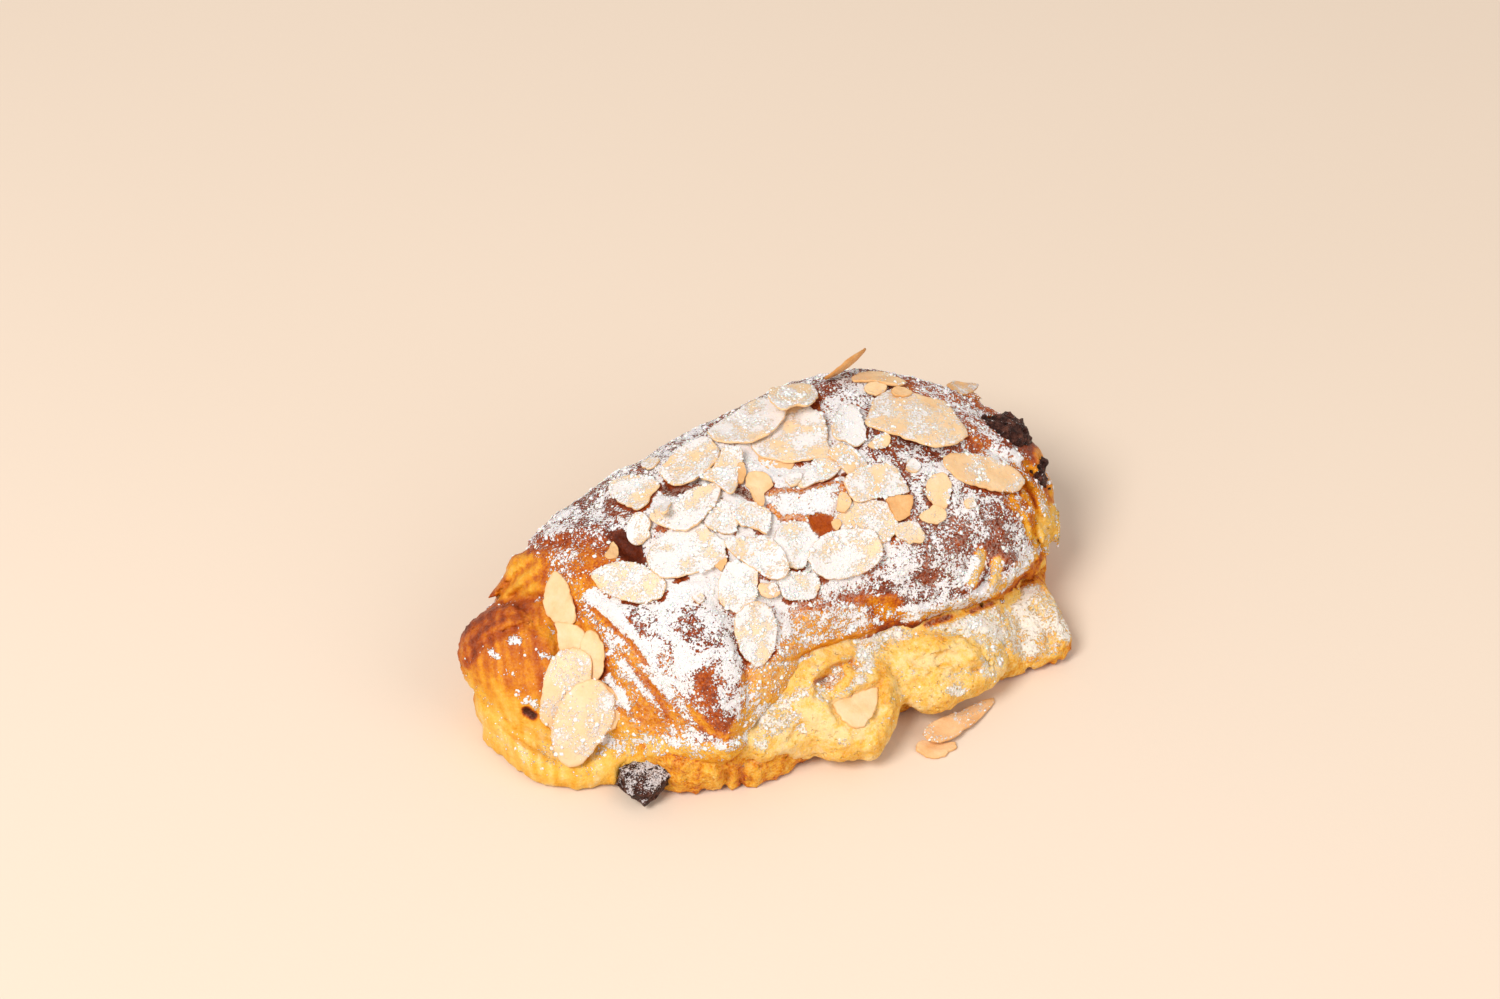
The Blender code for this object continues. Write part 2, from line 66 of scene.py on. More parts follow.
LENS, SENSOR, WIDE, HIGH = 85.0, 36.0, 1500, 999

# ------------------------------------------------------------------ the view
back = (EYE - AIM) / np.linalg.norm(EYE - AIM)
right = np.cross((0.0, 0.0, 1.0), back)
right /= np.linalg.norm(right)
up = np.cross(back, right)
FOCAL = LENS / SENSOR * WIDE


def tree_of(obj):
    obj.data.calc_loop_triangles()
    return BVHTree.FromPolygons([v.co / MM for v in obj.data.vertices], [tuple(t.vertices) for t in obj.data.loop_triangles])


CAD = {name: tree_of(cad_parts[name]) for name in ("pastry_top", "pastry_base", "almond_cream")}


def hit(u, v, nodes=("pastry_top", "pastry_base", "almond_cream")):
    """The point of the CAD solids seen at a place in the 1500 x 999 view; off the edge, the nearest one inwards."""
    for _ in range(60):
        way = right * (u - WIDE / 2) - up * (v - HIGH / 2) - back * FOCAL
        way /= np.linalg.norm(way)
        found = []
        for name in nodes:
            p, _n, _i, d = CAD[name].ray_cast(Vector(EYE), Vector(way))
            if p is not None:
                found.append((d, np.array(p)))
        if found:
            return min(found, key=lambda f: f[0])[1]
        u, v = u + (760 - u) * 0.02, v + (600 - v) * 0.02
    return np.array([0.0, 0.0, 20.0])


def view_of(p):
    """Where points fall in the 1500 x 999 view, and how far they lie along its axis."""
    d = np.asarray(p, float) - EYE
    depth = -(d @ back)
    return np.stack([WIDE / 2 + FOCAL * (d @ right) / depth, HIGH / 2 - FOCAL * (d @ up) / depth], 1), depth


MAP_LOW, MAP_STEP, MAP_SIZE = (430, 320), 5, (139, 104)


def depth_map():
    """How far away the CAD solids lie at places all over the view; places off them take their neighbours' values."""
    far = np.full(MAP_SIZE, np.nan)
    for i in range(MAP_SIZE[0]):
        for j in range(MAP_SIZE[1]):
            u, v = MAP_LOW[0] + i * MAP_STEP, MAP_LOW[1] + j * MAP_STEP
            way = right * (u - WIDE / 2) - up * (v - HIGH / 2) - back * FOCAL
            way /= np.linalg.norm(way)
            for tree in CAD.values():
                p, _n, _i, d = tree.ray_cast(Vector(EYE), Vector(way))
                if p is not None:
                    far[i, j] = np.nanmin([far[i, j], -(np.array(p) - EYE) @ back])
    while np.isnan(far).any():
        wide = np.pad(far, 1, constant_values=np.nan)
        around = np.stack([wide[1 + a : 1 + a + MAP_SIZE[0], 1 + b : 1 + b + MAP_SIZE[1]] for a in (-1, 0, 1) for b in (-1, 0, 1)])
        known = ~np.isnan(around)
        mean = np.where(known, around, 0).sum(0) / np.maximum(known.sum(0), 1)
        far = np.where(np.isnan(far) & known.any(0), mean, far)
    return far


FAR = depth_map()


def at_view(p):
    """(places in the view, mm per pixel, how much each point belongs to the surface seen from there)."""
    uv, depth = view_of(p)
    i = np.clip(np.round((uv[:, 0] - MAP_LOW[0]) / MAP_STEP).astype(int), 0, MAP_SIZE[0] - 1)
    j = np.clip(np.round((uv[:, 1] - MAP_LOW[1]) / MAP_STEP).astype(int), 0, MAP_SIZE[1] - 1)
    away = np.abs(depth - FAR[i, j])
    t = np.clip((away - 5.0) / 5.0, 0, 1)
    return uv, depth / FOCAL, 1 - t * t * (3 - 2 * t)


# ------------------------------------------------------------------ noise
GRADS = np.array([(1, 1, 0), (-1, 1, 0), (1, -1, 0), (-1, -1, 0), (1, 0, 1), (-1, 0, 1), (1, 0, -1), (-1, 0, -1), (0, 1, 1), (0, -1, 1), (0, 1, -1), (0, -1, -1)], np.float32)


def noise(p, size, seed=0):
    """Gradient noise, about -1 to 1, with features of the given size in mm (a number or one for each axis)."""
    q = np.asarray(p, float) / size
    i = np.floor(q)
    f = (q - i).astype(np.float32)
    i = i.astype(np.int64)
    w = f * f * f * (f * (f * 6 - 15) + 10)
    total = np.zeros(len(q), np.float32)
    for cx in (0, 1):
        wx = w[:, 0] if cx else 1 - w[:, 0]
        for cy in (0, 1):
            wy = wx * (w[:, 1] if cy else 1 - w[:, 1])
            for cz in (0, 1):
                h = ((i[:, 0] + cx) * 374761393 + (i[:, 1] + cy) * 668265263 + (i[:, 2] + cz) * 2147483647 + seed * 1274126177) & 0xFFFFFFFF
                h = ((h ^ (h >> 13)) * 1274126177) & 0xFFFFFFFF
                g = GRADS[(h ^ (h >> 16)) % 12]
                total += wy * (w[:, 2] if cz else 1 - w[:, 2]) * (g[:, 0] * (f[:, 0] - cx) + g[:, 1] * (f[:, 1] - cy) + g[:, 2] * (f[:, 2] - cz))
    return total * 1.5


def fbm(p, size, seed=0, octaves=3, gain=0.5):
    total, amp = 0.0, 1.0
    for k in range(octaves):
        total = total + amp * noise(p, np.asarray(size, float) / 2**k, seed + 17 * k)
        amp *= gain
    return total


def step(a, b, x):
    t = np.clip((x - a) / (b - a), 0, 1)
    return t * t * (3 - 2 * t)


def smax(a, b, k):
    h = np.clip(0.5 + 0.5 * (a - b) / k, 0, 1)
    return b + (a - b) * h + k * h * (1 - h)


def smin(a, b, k):
    return -smax(-a, -b, k)


# ------------------------------------------------------------------ sizes along the roll (as in the CAD part)
def along(*pairs):
    xs = np.array([p[0] for p in pairs], float)
    vs = np.array([p[1] for p in pairs], float)
    d = np.diff(vs) / np.diff(xs)
    m = np.concatenate([[d[0]], np.where(d[:-1] * d[1:] > 0, 2 * d[:-1] * d[1:] / (d[:-1] + d[1:] + 1e-12), 0), [d[-1]]])

    def curve(x):
        x = np.clip(np.asarray(x, float), xs[0], xs[-1])
        i = np.clip(np.searchsorted(xs, x) - 1, 0, len(xs) - 2)
        h = xs[i + 1] - xs[i]
        t = (x - xs[i]) / h
        return vs[i] * (1 + 2 * t) * (1 - t) ** 2 + vs[i + 1] * t * t * (3 - 2 * t) + h * m[i] * t * (1 - t) ** 2 - h * m[i + 1] * t * t * (1 - t)

    return curve


LEFT, RIGHT = -70.0, 73.0
crust_back = along((-70, 21), (-67, 25), (-61, 29), (-54, 33), (-46, 36), (-36, 38.5), (-20, 41), (0, 43), (20, 45.5), (34, 45.5), (48, 41), (56, 36.5), (62, 30), (66, 23), (69, 16), (71.5, 12), (73, 9))
crust_front = along((-70, 14), (-67, 6), (-62, -2), (-56, -8), (-50, -13.5), (-44, -19.5), (-38, -26.5), (-33, -31.5), (-28, -30), (-20, -27), (-9, -24), (7, -23), (26, -25.5), (42, -25.5), (54, -21.5), (62, -16.5), (68, -12), (71, -6), (73, 0))
ridge_z = along((-70, 19), (-66, 23.5), (-62, 25.5), (-56, 28.5), (-50, 33.5), (-44, 38), (-36, 42), (-20, 45), (0, 47), (25, 47), (45, 44.5), (58, 40), (66, 35), (71, 29), (73, 24))
ridge_y = along((-70, 18.5), (-62, 16), (-50, 13), (-30, 12), (0, 14), (25, 17), (45, 15), (60, 9), (73, 4.5))
rim_z = along((-70, 12), (-66, 8.5), (-60, 7.5), (-50, 7.5), (-40, 9.5), (-32, 12), (-20, 16), (-9, 18.5), (7, 18.5), (26, 17), (42, 15), (58, 13), (66, 12), (73, 13))
widest_z = along((-70, 15), (-60, 15), (-40, 20), (0, 22), (40, 22), (73, 20))
under_z = along((-70, 12), (-66, 8.6), (-60, 7.8), (-50, 11), (-44, 16), (-30, 18.5), (0, 19), (40, 18), (60, 16.5), (73, 15))
cream_thick = along((-60, 1.2), (-48, 2.2), (-40, 4), (-20, 5), (40, 5), (66, 3.5), (73, 3))
BASE_LEFT, BASE_RIGHT = -69.5, 71.0
base_front = along((-69.5, 8), (-69, 2), (-67, -5), (-63, -10.5), (-57, -14.5), (-50, -17.5), (-45, -21.5), (-42, -26), (-37, -29), (-30, -31.2), (-21.5, -33.2), (-14, -33.4), (-6, -32), (10, -31), (30, -32), (44, -35), (54, -37), (57, -35.5), (58.5, -26), (61, -18), (65, -12), (69, -5), (71, 2))
slab_drop = along((34, 0), (44, 4), (54, 5.2), (58, 4.5), (63, 0))
base_back = along((-69.5, 14), (-68, 19), (-62, 24), (-54, 29), (-40, 34), (-20, 37), (0, 39), (20, 41.5), (34, 41.5), (48, 37.5), (58, 30.5), (65, 21), (71, 9))
OOZE_LEFT, OOZE_RIGHT = -38.0, 46.0
ooze_y = along((-38, -25), (-30, -28), (-23, -30.5), (-19, -32), (-15, -34), (-10, -37.4), (-6, -39.8), (-1.7, -41), (3.2, -39.6), (7.7, -37.1), (11, -34.8), (14.8, -36), (18.6, -38.2), (23.4, -39), (30.4, -38.4), (35.3, -36.9), (38, -34.8), (42, -31), (46, -27))
ooze_top = along((-38, 10), (-28, 14.5), (-20, 17), (-8, 17.6), (4, 17.6), (8, 16.6), (11, 15), (16, 16), (22, 17), (30, 15.5), (37, 13.5), (46, 12))
ooze_low = along((-38, 6), (-28, 6.5), (-21, 5.5), (-15, 1.5), (-10, 0.5), (0, 0.5), (4, 1.5), (7.7, 3.5), (11, 6.5), (14.8, 3), (20, 2.4), (30, 2.6), (36, 4), (46, 5))


def bump(x, y, cx, cy, rx, ry, turn=0.0):
    a = math.radians(turn)
    u, v = (x - cx) * math.cos(a) + (y - cy) * math.sin(a), (y - cy) * math.cos(a) - (x - cx) * math.sin(a)
    return np.exp(-((u / rx) ** 2) - (v / ry) ** 2)


def groove(x, y, start, end, half_width):
    a, b = np.array(start, float), np.array(end, float)
    length = np.hypot(*(b - a))
    t = (b - a) / length
    s = (x - a[0]) * t[0] + (y - a[1]) * t[1]
    d = (y - a[1]) * t[0] - (x - a[0]) * t[1]
    past = np.maximum(0, np.maximum(-s, s - length))
    return np.exp(-((d / half_width) ** 2) - (past / (1.6 * half_width)) ** 2)


def relief(x, y):
    z = 2.6 * bump(x, y, -60, 13, 7, 9, -15)
    z -= 2.8 * groove(x, y, (-55, 24), (-50, -6), 3.2)
    z -= 1.8 * groove(x, y, (-22, -14), (-24, -30), 2.2)
    z += 1.2 * bump(x, y, -30, -20, 6, 9, 10)
    z += 1.3 * bump(x, y, 8, 2, 9, 7)
    z -= 1.6 * bump(x, y, 3, -2, 4, 3)
    z -= 1.4 * groove(x, y, (60, 22), (64, -10), 2.6)
    z += 1.0 * bump(x, y, 40, -18, 16, 4, 4)
    return z + 0.55 * np.sin(0.21 * x + 0.16 * y + 1.0) * np.sin(0.19 * y - 0.08 * x + 0.4)


def quarter(n, power):
    a = np.linspace(0, math.pi / 2, n)
    return np.cos(a) ** (2 / power), np.sin(a) ** (2 / power)


def crust_section(x):
    yf, yb, h, yr = crust_front(x), crust_back(x), ridge_z(x), ridge_y(x)
    zf, zm, u = rim_z(x), widest_z(x), under_z(x)
    zf, u = min(zf, h - 4), min(u, h - 4)
    zm = max(zm, u + 1.5)
    c, s = quarter(34, 2.15)
    y1, z1 = yr - (yr - yf) * c, zf + 2 + (h - zf - 2) * s
    c, s = quarter(26, 2.6)
    y2, z2 = (yr + (yb - yr) * c)[::-1], (zm + (h - zm) * s)[::-1]
    y, z = np.concatenate([y1, y2[1:]]), np.concatenate([z1, z2[1:]])
    z = z + np.clip((z - zf - 2) / (h - zf - 2), 0, 1) ** 0.6 * relief(x, y)
    narrow = min(1.0, (yb - yf) / 20)
    back_in, lip_in = yb - 3.0 * narrow, yf + 6.5 * narrow
    lower = [(yb - 1.0 * narrow, (zm + u) / 2), (back_in, u), (lip_in, u), (yf + 2.2 * narrow, min(zf + 0.2, u)), (yf + 0.6 * narrow, zf + 0.6)]
    return np.concatenate([np.stack([y, z], 1), np.array(lower)])


def base_section(x):
    yf, yb = base_front(x), base_back(x)
    top = under_z(x) - cream_thick(x)
    edge = top - slab_drop(x)
    k = min(1.0, (yb - yf) / 16)
    return np.array([
        (yf + 2.5 * k, 0.0),
        (yf + 0.9 * k, min(0.8, top * 0.15)),
        (yf + 0.25 * k, edge * 0.25),
        (yf, edge * 0.45),
        (yf + 0.25 * k, edge * 0.65),
        (yf + 0.9 * k, edge * 0.85),
        (yf + 2.6 * k, edge),
        (yf + 12 * k, top),
        (yb - 2.4 * k, top),
        (yb - 0.7 * k, top * 0.88),
        (yb, top * 0.7),
        (yb - 0.4 * k, top * 0.5),
        (yb - 1.6 * k, top * 0.25),
        (yb - 5.0 * k, 0.0),
    ])


def ooze_section(x):
    yo, top, low = ooze_y(x), ooze_top(x), ooze_low(x)
    zm = low + (top - low) * 0.42
    yi = -21.0
    c, s = quarter(16, 2.2)
    upper = np.stack([yi - (yi - yo) * c[::-1], zm + (top - zm) * s[::-1]], 1)
    c, s = quarter(12, 2.4)
    lower = np.stack([yi - (yi - yo) * c, zm - (zm - low) * s], 1)[1:]
    return np.concatenate([upper, lower])

# ------------------------------------------------------------------ signed distance from the sections
FIELD_X = np.arange(-76.0, 79.1, 1.0)
FIELD_Y = np.arange(-46.0, 52.1, 0.8)
FIELD_Z = np.arange(-6.0, 56.1, 0.8)


def polygon_distance(points, poly):
    """Signed distance, negative inside, from points (n, 2) to a closed loop."""
    a, b = poly, np.roll(poly, -1, 0)
    e = b - a
    keep = (e**2).sum(1) > 1e-9
    a, b, e = a[keep], b[keep], e[keep]
    d = points[:, None, :] - a[None]
    t = np.clip((d * e).sum(2) / (e * e).sum(1), 0, 1)
    best = ((d - t[..., None] * e) ** 2).sum(2).min(1)
    py, pz = points[:, :1], points[:, 1:]
    crosses = (a[:, 1] > pz) != (b[:, 1] > pz)
    where = a[:, 0] + (pz - a[:, 1]) * e[:, 0] / np.where(abs(e[:, 1]) < 1e-9, 1e-9, e[:, 1])
    inside = (crosses & (py < where)).sum(1) % 2 == 1
    return np.where(inside, -1, 1) * np.sqrt(best)


def field_of(section, left, right_end):
    yy, zz = np.meshgrid(FIELD_Y, FIELD_Z, indexing="ij")
    points = np.stack([yy.ravel(), zz.ravel()], 1)
    out = np.empty((len(FIELD_X), len(FIELD_Y), len(FIELD_Z)), np.float32)
    for k, x in enumerate(FIELD_X):
        inside_x = float(np.clip(x, left, right_end))
        if k and inside_x == last:
            s = out[k - 1] if k == 1 or x != inside_x else s
        else:
            s = polygon_distance(points, section(inside_x)).reshape(yy.shape)
        last = inside_x
        out[k] = s
    beyond = np.maximum(left - FIELD_X, FIELD_X - right_end)[:, None, None]
    return smax(out, beyond, 2.0).astype(np.float32)


def sample(field, p):
    """The field between its grid places, at row-frame points."""
    q = (p - SHIFT - np.array([FIELD_X[0], FIELD_Y[0], FIELD_Z[0]])) / np.array([1.0, 0.8, 0.8])
    top = np.array(field.shape) - 1.001
    q = np.clip(q, 0, top)
    i = q.astype(np.int32)
    f = (q - i).astype(np.float32)
    x, y, z = i.T
    fx, fy, fz = f.T
    c00 = field[x, y, z] * (1 - fx) + field[x + 1, y, z] * fx
    c10 = field[x, y + 1, z] * (1 - fx) + field[x + 1, y + 1, z] * fx
    c01 = field[x, y, z + 1] * (1 - fx) + field[x + 1, y, z + 1] * fx
    c11 = field[x, y + 1, z + 1] * (1 - fx) + field[x + 1, y + 1, z + 1] * fx
    return (c00 * (1 - fy) + c10 * fy) * (1 - fz) + (c01 * (1 - fy) + c11 * fy) * fz


TOP_FIELD = field_of(crust_section, LEFT, RIGHT)
BASE_FIELD = field_of(base_section, BASE_LEFT, BASE_RIGHT)
OOZE_FIELD = field_of(ooze_section, OOZE_LEFT, OOZE_RIGHT)


# ------------------------------------------------------------------ shapes to add and take away
def line_distance(p, line):
    """Distance from points to a line through several places, and how far along it (0 to 1)."""
    best = np.full(len(p), 1e9)
    place = np.zeros(len(p))
    n = len(line) - 1
    if n == 0:
        return np.linalg.norm(p - line[0], axis=1), place + 0.5
    for k in range(n):
        a, b = line[k], line[k + 1]
        e = b - a
        t = np.clip(((p - a) @ e) / (e @ e + 1e-9), 0, 1)
        d = np.sqrt((((p - a) - t[:, None] * e) ** 2).sum(1))
        nearer = d < best
        best = np.where(nearer, d, best)
        place = np.where(nearer, (k + t) / n, place)
    return best, place


def near(p, line, reach):
    """Which points are close enough to a line to be touched by it."""
    low, high = line.min(0) - reach, line.max(0) + reach
    return np.where(((p > low) & (p < high)).all(1))[0]


def places(*uv, lift=0.0, nodes=("pastry_top", "pastry_base", "almond_cream")):
    pts = np.array([hit(u, v, nodes) for u, v in uv])
    pts[:, 2] += lift
    return pts


def push(f, view, marks):
    """Raises (+) or sinks (-) the seen surface along lines in the view: (mm, radius in mm, places)."""
    uv, mm, seen = view
    for amount, radius, *line in marks:
        line = np.array(line, float)
        i = near(uv, line, radius * 2.4 / 0.22)
        i = i[seen[i] > 0.01]
        if len(i):
            d, t = line_distance(uv[i], line)
            ends = 1.0 if len(line) == 1 else 0.5 + 0.5 * np.sin(np.pi * np.clip(t, 0.02, 0.98)) ** 0.5
            f[i] -= amount * seen[i] * ends * np.exp(-((d * mm[i] / radius) ** 2))
    return f


def within(p, view, outline_px, ragged):
    """Points near a shape drawn in the view, with how far inside its ragged outline they lie in mm."""
    uv, mm, seen = view
    shape = np.array(outline_px, float)
    i = near(uv, shape, 12)
    i = i[seen[i] > 0.01]
    if not len(i):
        return i, np.zeros(0)
    inside = -polygon_distance(uv[i], shape) * mm[i]
    if ragged:
        inside = inside + ragged * (0.65 * noise(p[i], 2.6, 301) + 0.35 * noise(p[i], 1.1, 302))
    return i, inside


def plate(f, p, view, rows):
    """Raises (+) or sinks (-) whole areas with a crisp edge: (mm, softness, fade, places). fade is (from, to), where it
    grows from nothing to full, or None."""
    for amount, soft, fade, *shape in rows:
        i, inside = within(p, view, shape, 0.45)
        if len(i):
            w = step(-soft, soft, inside) * view[2][i]
            if fade:
                a, b = np.array(fade[0], float), np.array(fade[1], float)
                t = (view[0][i] - a) @ (b - a) / ((b - a) @ (b - a))
                w = w * step(0, 1, t)
            f[i] -= amount * w
    return f


def blob(p, centre, radii, turn=(0.0, 0.0)):
    """Distance to an ellipsoid; turn is its heading and its tip, in degrees."""
    a, e = math.radians(turn[0]), math.radians(turn[1])
    ux = np.array([math.cos(a) * math.cos(e), math.sin(a) * math.cos(e), math.sin(e)])
    uy = np.array([-math.sin(a), math.cos(a), 0.0])
    uz = np.cross(ux, uy)
    q = (p - centre) @ np.stack([ux, uy, uz], 1)
    r = np.array(radii, float)
    k0 = np.sqrt(((q / r) ** 2).sum(1)) + 1e-9
    k1 = np.sqrt(((q / r**2) ** 2).sum(1)) + 1e-9
    return k0 * (k0 - 1) / k1


def shingles(p, size, seed, sharp=0.22):
    """A surface of thin layers one over another: it slopes up slowly and drops at torn edges; about -0.5 to 0.5."""
    t = 2.3 * fbm(p, size, seed, 3)
    t = t - np.floor(t)
    return np.where(t < 1 - sharp, t / (1 - sharp), 1 - (t - 1 + sharp) / sharp) - 0.5


# ------------------------------------------------------------------ meshes from fields
def upsample(f, n, axis):
    """Linear steps between grid planes, n to a cell."""
    f = np.moveaxis(f, axis, 0)
    i = np.arange((len(f) - 1) * n + 1)
    a, t = np.minimum(i // n, len(f) - 2), (i - np.minimum(i // n, len(f) - 2) * n) / n
    t = t.astype(np.float32).reshape(-1, *([1] * (f.ndim - 1)))
    return np.moveaxis(f[a] * (1 - t) + f[a + 1] * t, 0, axis)


def surface(field, low, high, cell):
    """Points and quads where field(points) is zero, by surface nets on a grid refined only near the surface."""
    n = 4
    coarse = cell * n
    counts = [int(math.ceil((h - l) / coarse)) + 1 for l, h in zip(low, high)]
    axes = [l + coarse * np.arange(c) for l, c in zip(low, counts)]
    grid = np.stack(np.meshgrid(*axes, indexing="ij"), -1).reshape(-1, 3)
    rough = field(grid).astype(np.float32).reshape(counts)
    fine = rough
    for axis in range(3):
        fine = upsample(fine, n, axis)
    close = np.abs(fine) < coarse * 0.95
    i = np.argwhere(close)
    p = np.array(low) + i * cell
    values = np.concatenate([field(p[k : k + 400000]) for k in range(0, len(p), 400000)])
    fine[i[:, 0], i[:, 1], i[:, 2]] = values
    edge = np.zeros(fine.shape, bool)
    edge[1:-1, 1:-1, 1:-1] = True
    fine = np.where(edge, fine, np.maximum(fine, 0.01))
    inside = fine < 0
    corners = [(a, b, c) for a in (0, 1) for b in (0, 1) for c in (0, 1)]
    sx, sy, sz = (s - 1 for s in fine.shape)
    total = np.zeros((sx, sy, sz), np.int8)
    for a, b, c in corners:
        total += inside[a : a + sx, b : b + sy, c : c + sz]
    cells = np.argwhere((total > 0) & (total < 8))
    number = np.full((sx, sy, sz), -1, np.int64)
    number[cells[:, 0], cells[:, 1], cells[:, 2]] = np.arange(len(cells))
    where = np.zeros((len(cells), 3), np.float32)
    hits = np.zeros(len(cells), np.float32)
    for a in corners:
        for axis in range(3):
            if a[axis]:
                continue
            b = list(a)
            b[axis] = 1
            fa = fine[cells[:, 0] + a[0], cells[:, 1] + a[1], cells[:, 2] + a[2]]
            fb = fine[cells[:, 0] + b[0], cells[:, 1] + b[1], cells[:, 2] + b[2]]
            m = (fa < 0) != (fb < 0)
            t = fa[m] / (fa[m] - fb[m])
            q = np.tile(np.array(a, np.float32), (m.sum(), 1))
            q[:, axis] = t
            where[m] += q
            hits[m] += 1
    points = np.array(low) + (cells + where / hits[:, None]) * cell
    quads = []
    for axis in range(3):
        b, c = [k for k in range(3) if k != axis]
        lo = [slice(1, -1)] * 3
        lo[axis] = slice(0, -1)
        up_ = list(lo)
        up_[axis] = slice(1, None)
        first, second = inside[tuple(lo)], inside[tuple(up_)]
        at = np.argwhere(first != second)
        at[:, b] += 1
        at[:, c] += 1
        leaving = inside[at[:, 0], at[:, 1], at[:, 2]]
        ring = []
        for db, dc in ((-1, -1), (0, -1), (0, 0), (-1, 0)):
            k = at.copy()
            k[:, b] += db
            k[:, c] += dc
            ring.append(number[k[:, 0], k[:, 1], k[:, 2]])
        q = np.stack(ring, 1)
        flip = leaving if axis != 1 else ~leaving
        q = np.where(flip[:, None], q, q[:, ::-1])
        quads.append(q)
    quads = np.concatenate(quads)
    quads = quads[(quads >= 0).all(1)]
    return keep_largest(points, quads)


def keep_largest(points, quads):
    label = np.arange(len(points))
    ends = np.concatenate([quads[:, [0, 1]], quads[:, [1, 2]], quads[:, [2, 3]]])
    for _ in range(400):
        low = np.minimum(label[ends[:, 0]], label[ends[:, 1]])
        new = label.copy()
        np.minimum.at(new, ends[:, 0], low)
        np.minimum.at(new, ends[:, 1], low)
        new = new[new]
        if (new == label).all():
            break
        label = new
    names, count = np.unique(label, return_counts=True)
    keep = label == names[count.argmax()]
    number = np.cumsum(keep) - 1
    quads = number[quads[keep[quads[:, 0]]]]
    return points[keep], quads


def normals_of(points, quads):
    a, b = points[quads[:, 2]] - points[quads[:, 0]], points[quads[:, 3]] - points[quads[:, 1]]
    face = np.cross(a, b)
    out = np.zeros_like(points)
    for k in range(quads.shape[1]):
        for axis in range(3):
            out[:, axis] += np.bincount(quads[:, k], weights=face[:, axis], minlength=len(points))
    return out / np.maximum(np.linalg.norm(out, axis=1, keepdims=True), 1e-9)


def piece(name, points, faces, nodes=(), mats=(), attributes=None, smooth=True):
    """A mesh piece in the row frame from points in mm; faces is an array or a list of loops."""
    mesh = bpy.data.meshes.new(name)
    points = np.asarray(points, float) * MM
    mesh.vertices.add(len(points))
    mesh.vertices.foreach_set("co", points.astype(np.float32).ravel())
    if isinstance(faces, np.ndarray):
        k = faces.shape[1]
        mesh.loops.add(faces.size)
        mesh.loops.foreach_set("vertex_index", faces.astype(np.int32).ravel())
        mesh.polygons.add(len(faces))
        mesh.polygons.foreach_set("loop_start", (np.arange(len(faces)) * k).astype(np.int32))
    else:
        sizes = np.array([len(f) for f in faces])
        mesh.loops.add(int(sizes.sum()))
        mesh.loops.foreach_set("vertex_index", np.concatenate(faces).astype(np.int32))
        mesh.polygons.add(len(faces))
        mesh.polygons.foreach_set("loop_start", (np.cumsum(sizes) - sizes).astype(np.int32))
    mesh.update(calc_edges=True)
    mesh.validate()
    for key, values in (attributes or {}).items():
        layer = mesh.attributes.new(key, "FLOAT", "POINT")
        layer.data.foreach_set("value", np.asarray(values, np.float32))
    for mat in mats:
        mesh.materials.append(mat)
    if smooth:
        mesh.shade_smooth()
    obj = bpy.data.objects.new(name, mesh)
    bpy.context.scene.collection.objects.link(obj)
    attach(obj, "root")
    if nodes:
        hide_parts(*nodes)
    return obj


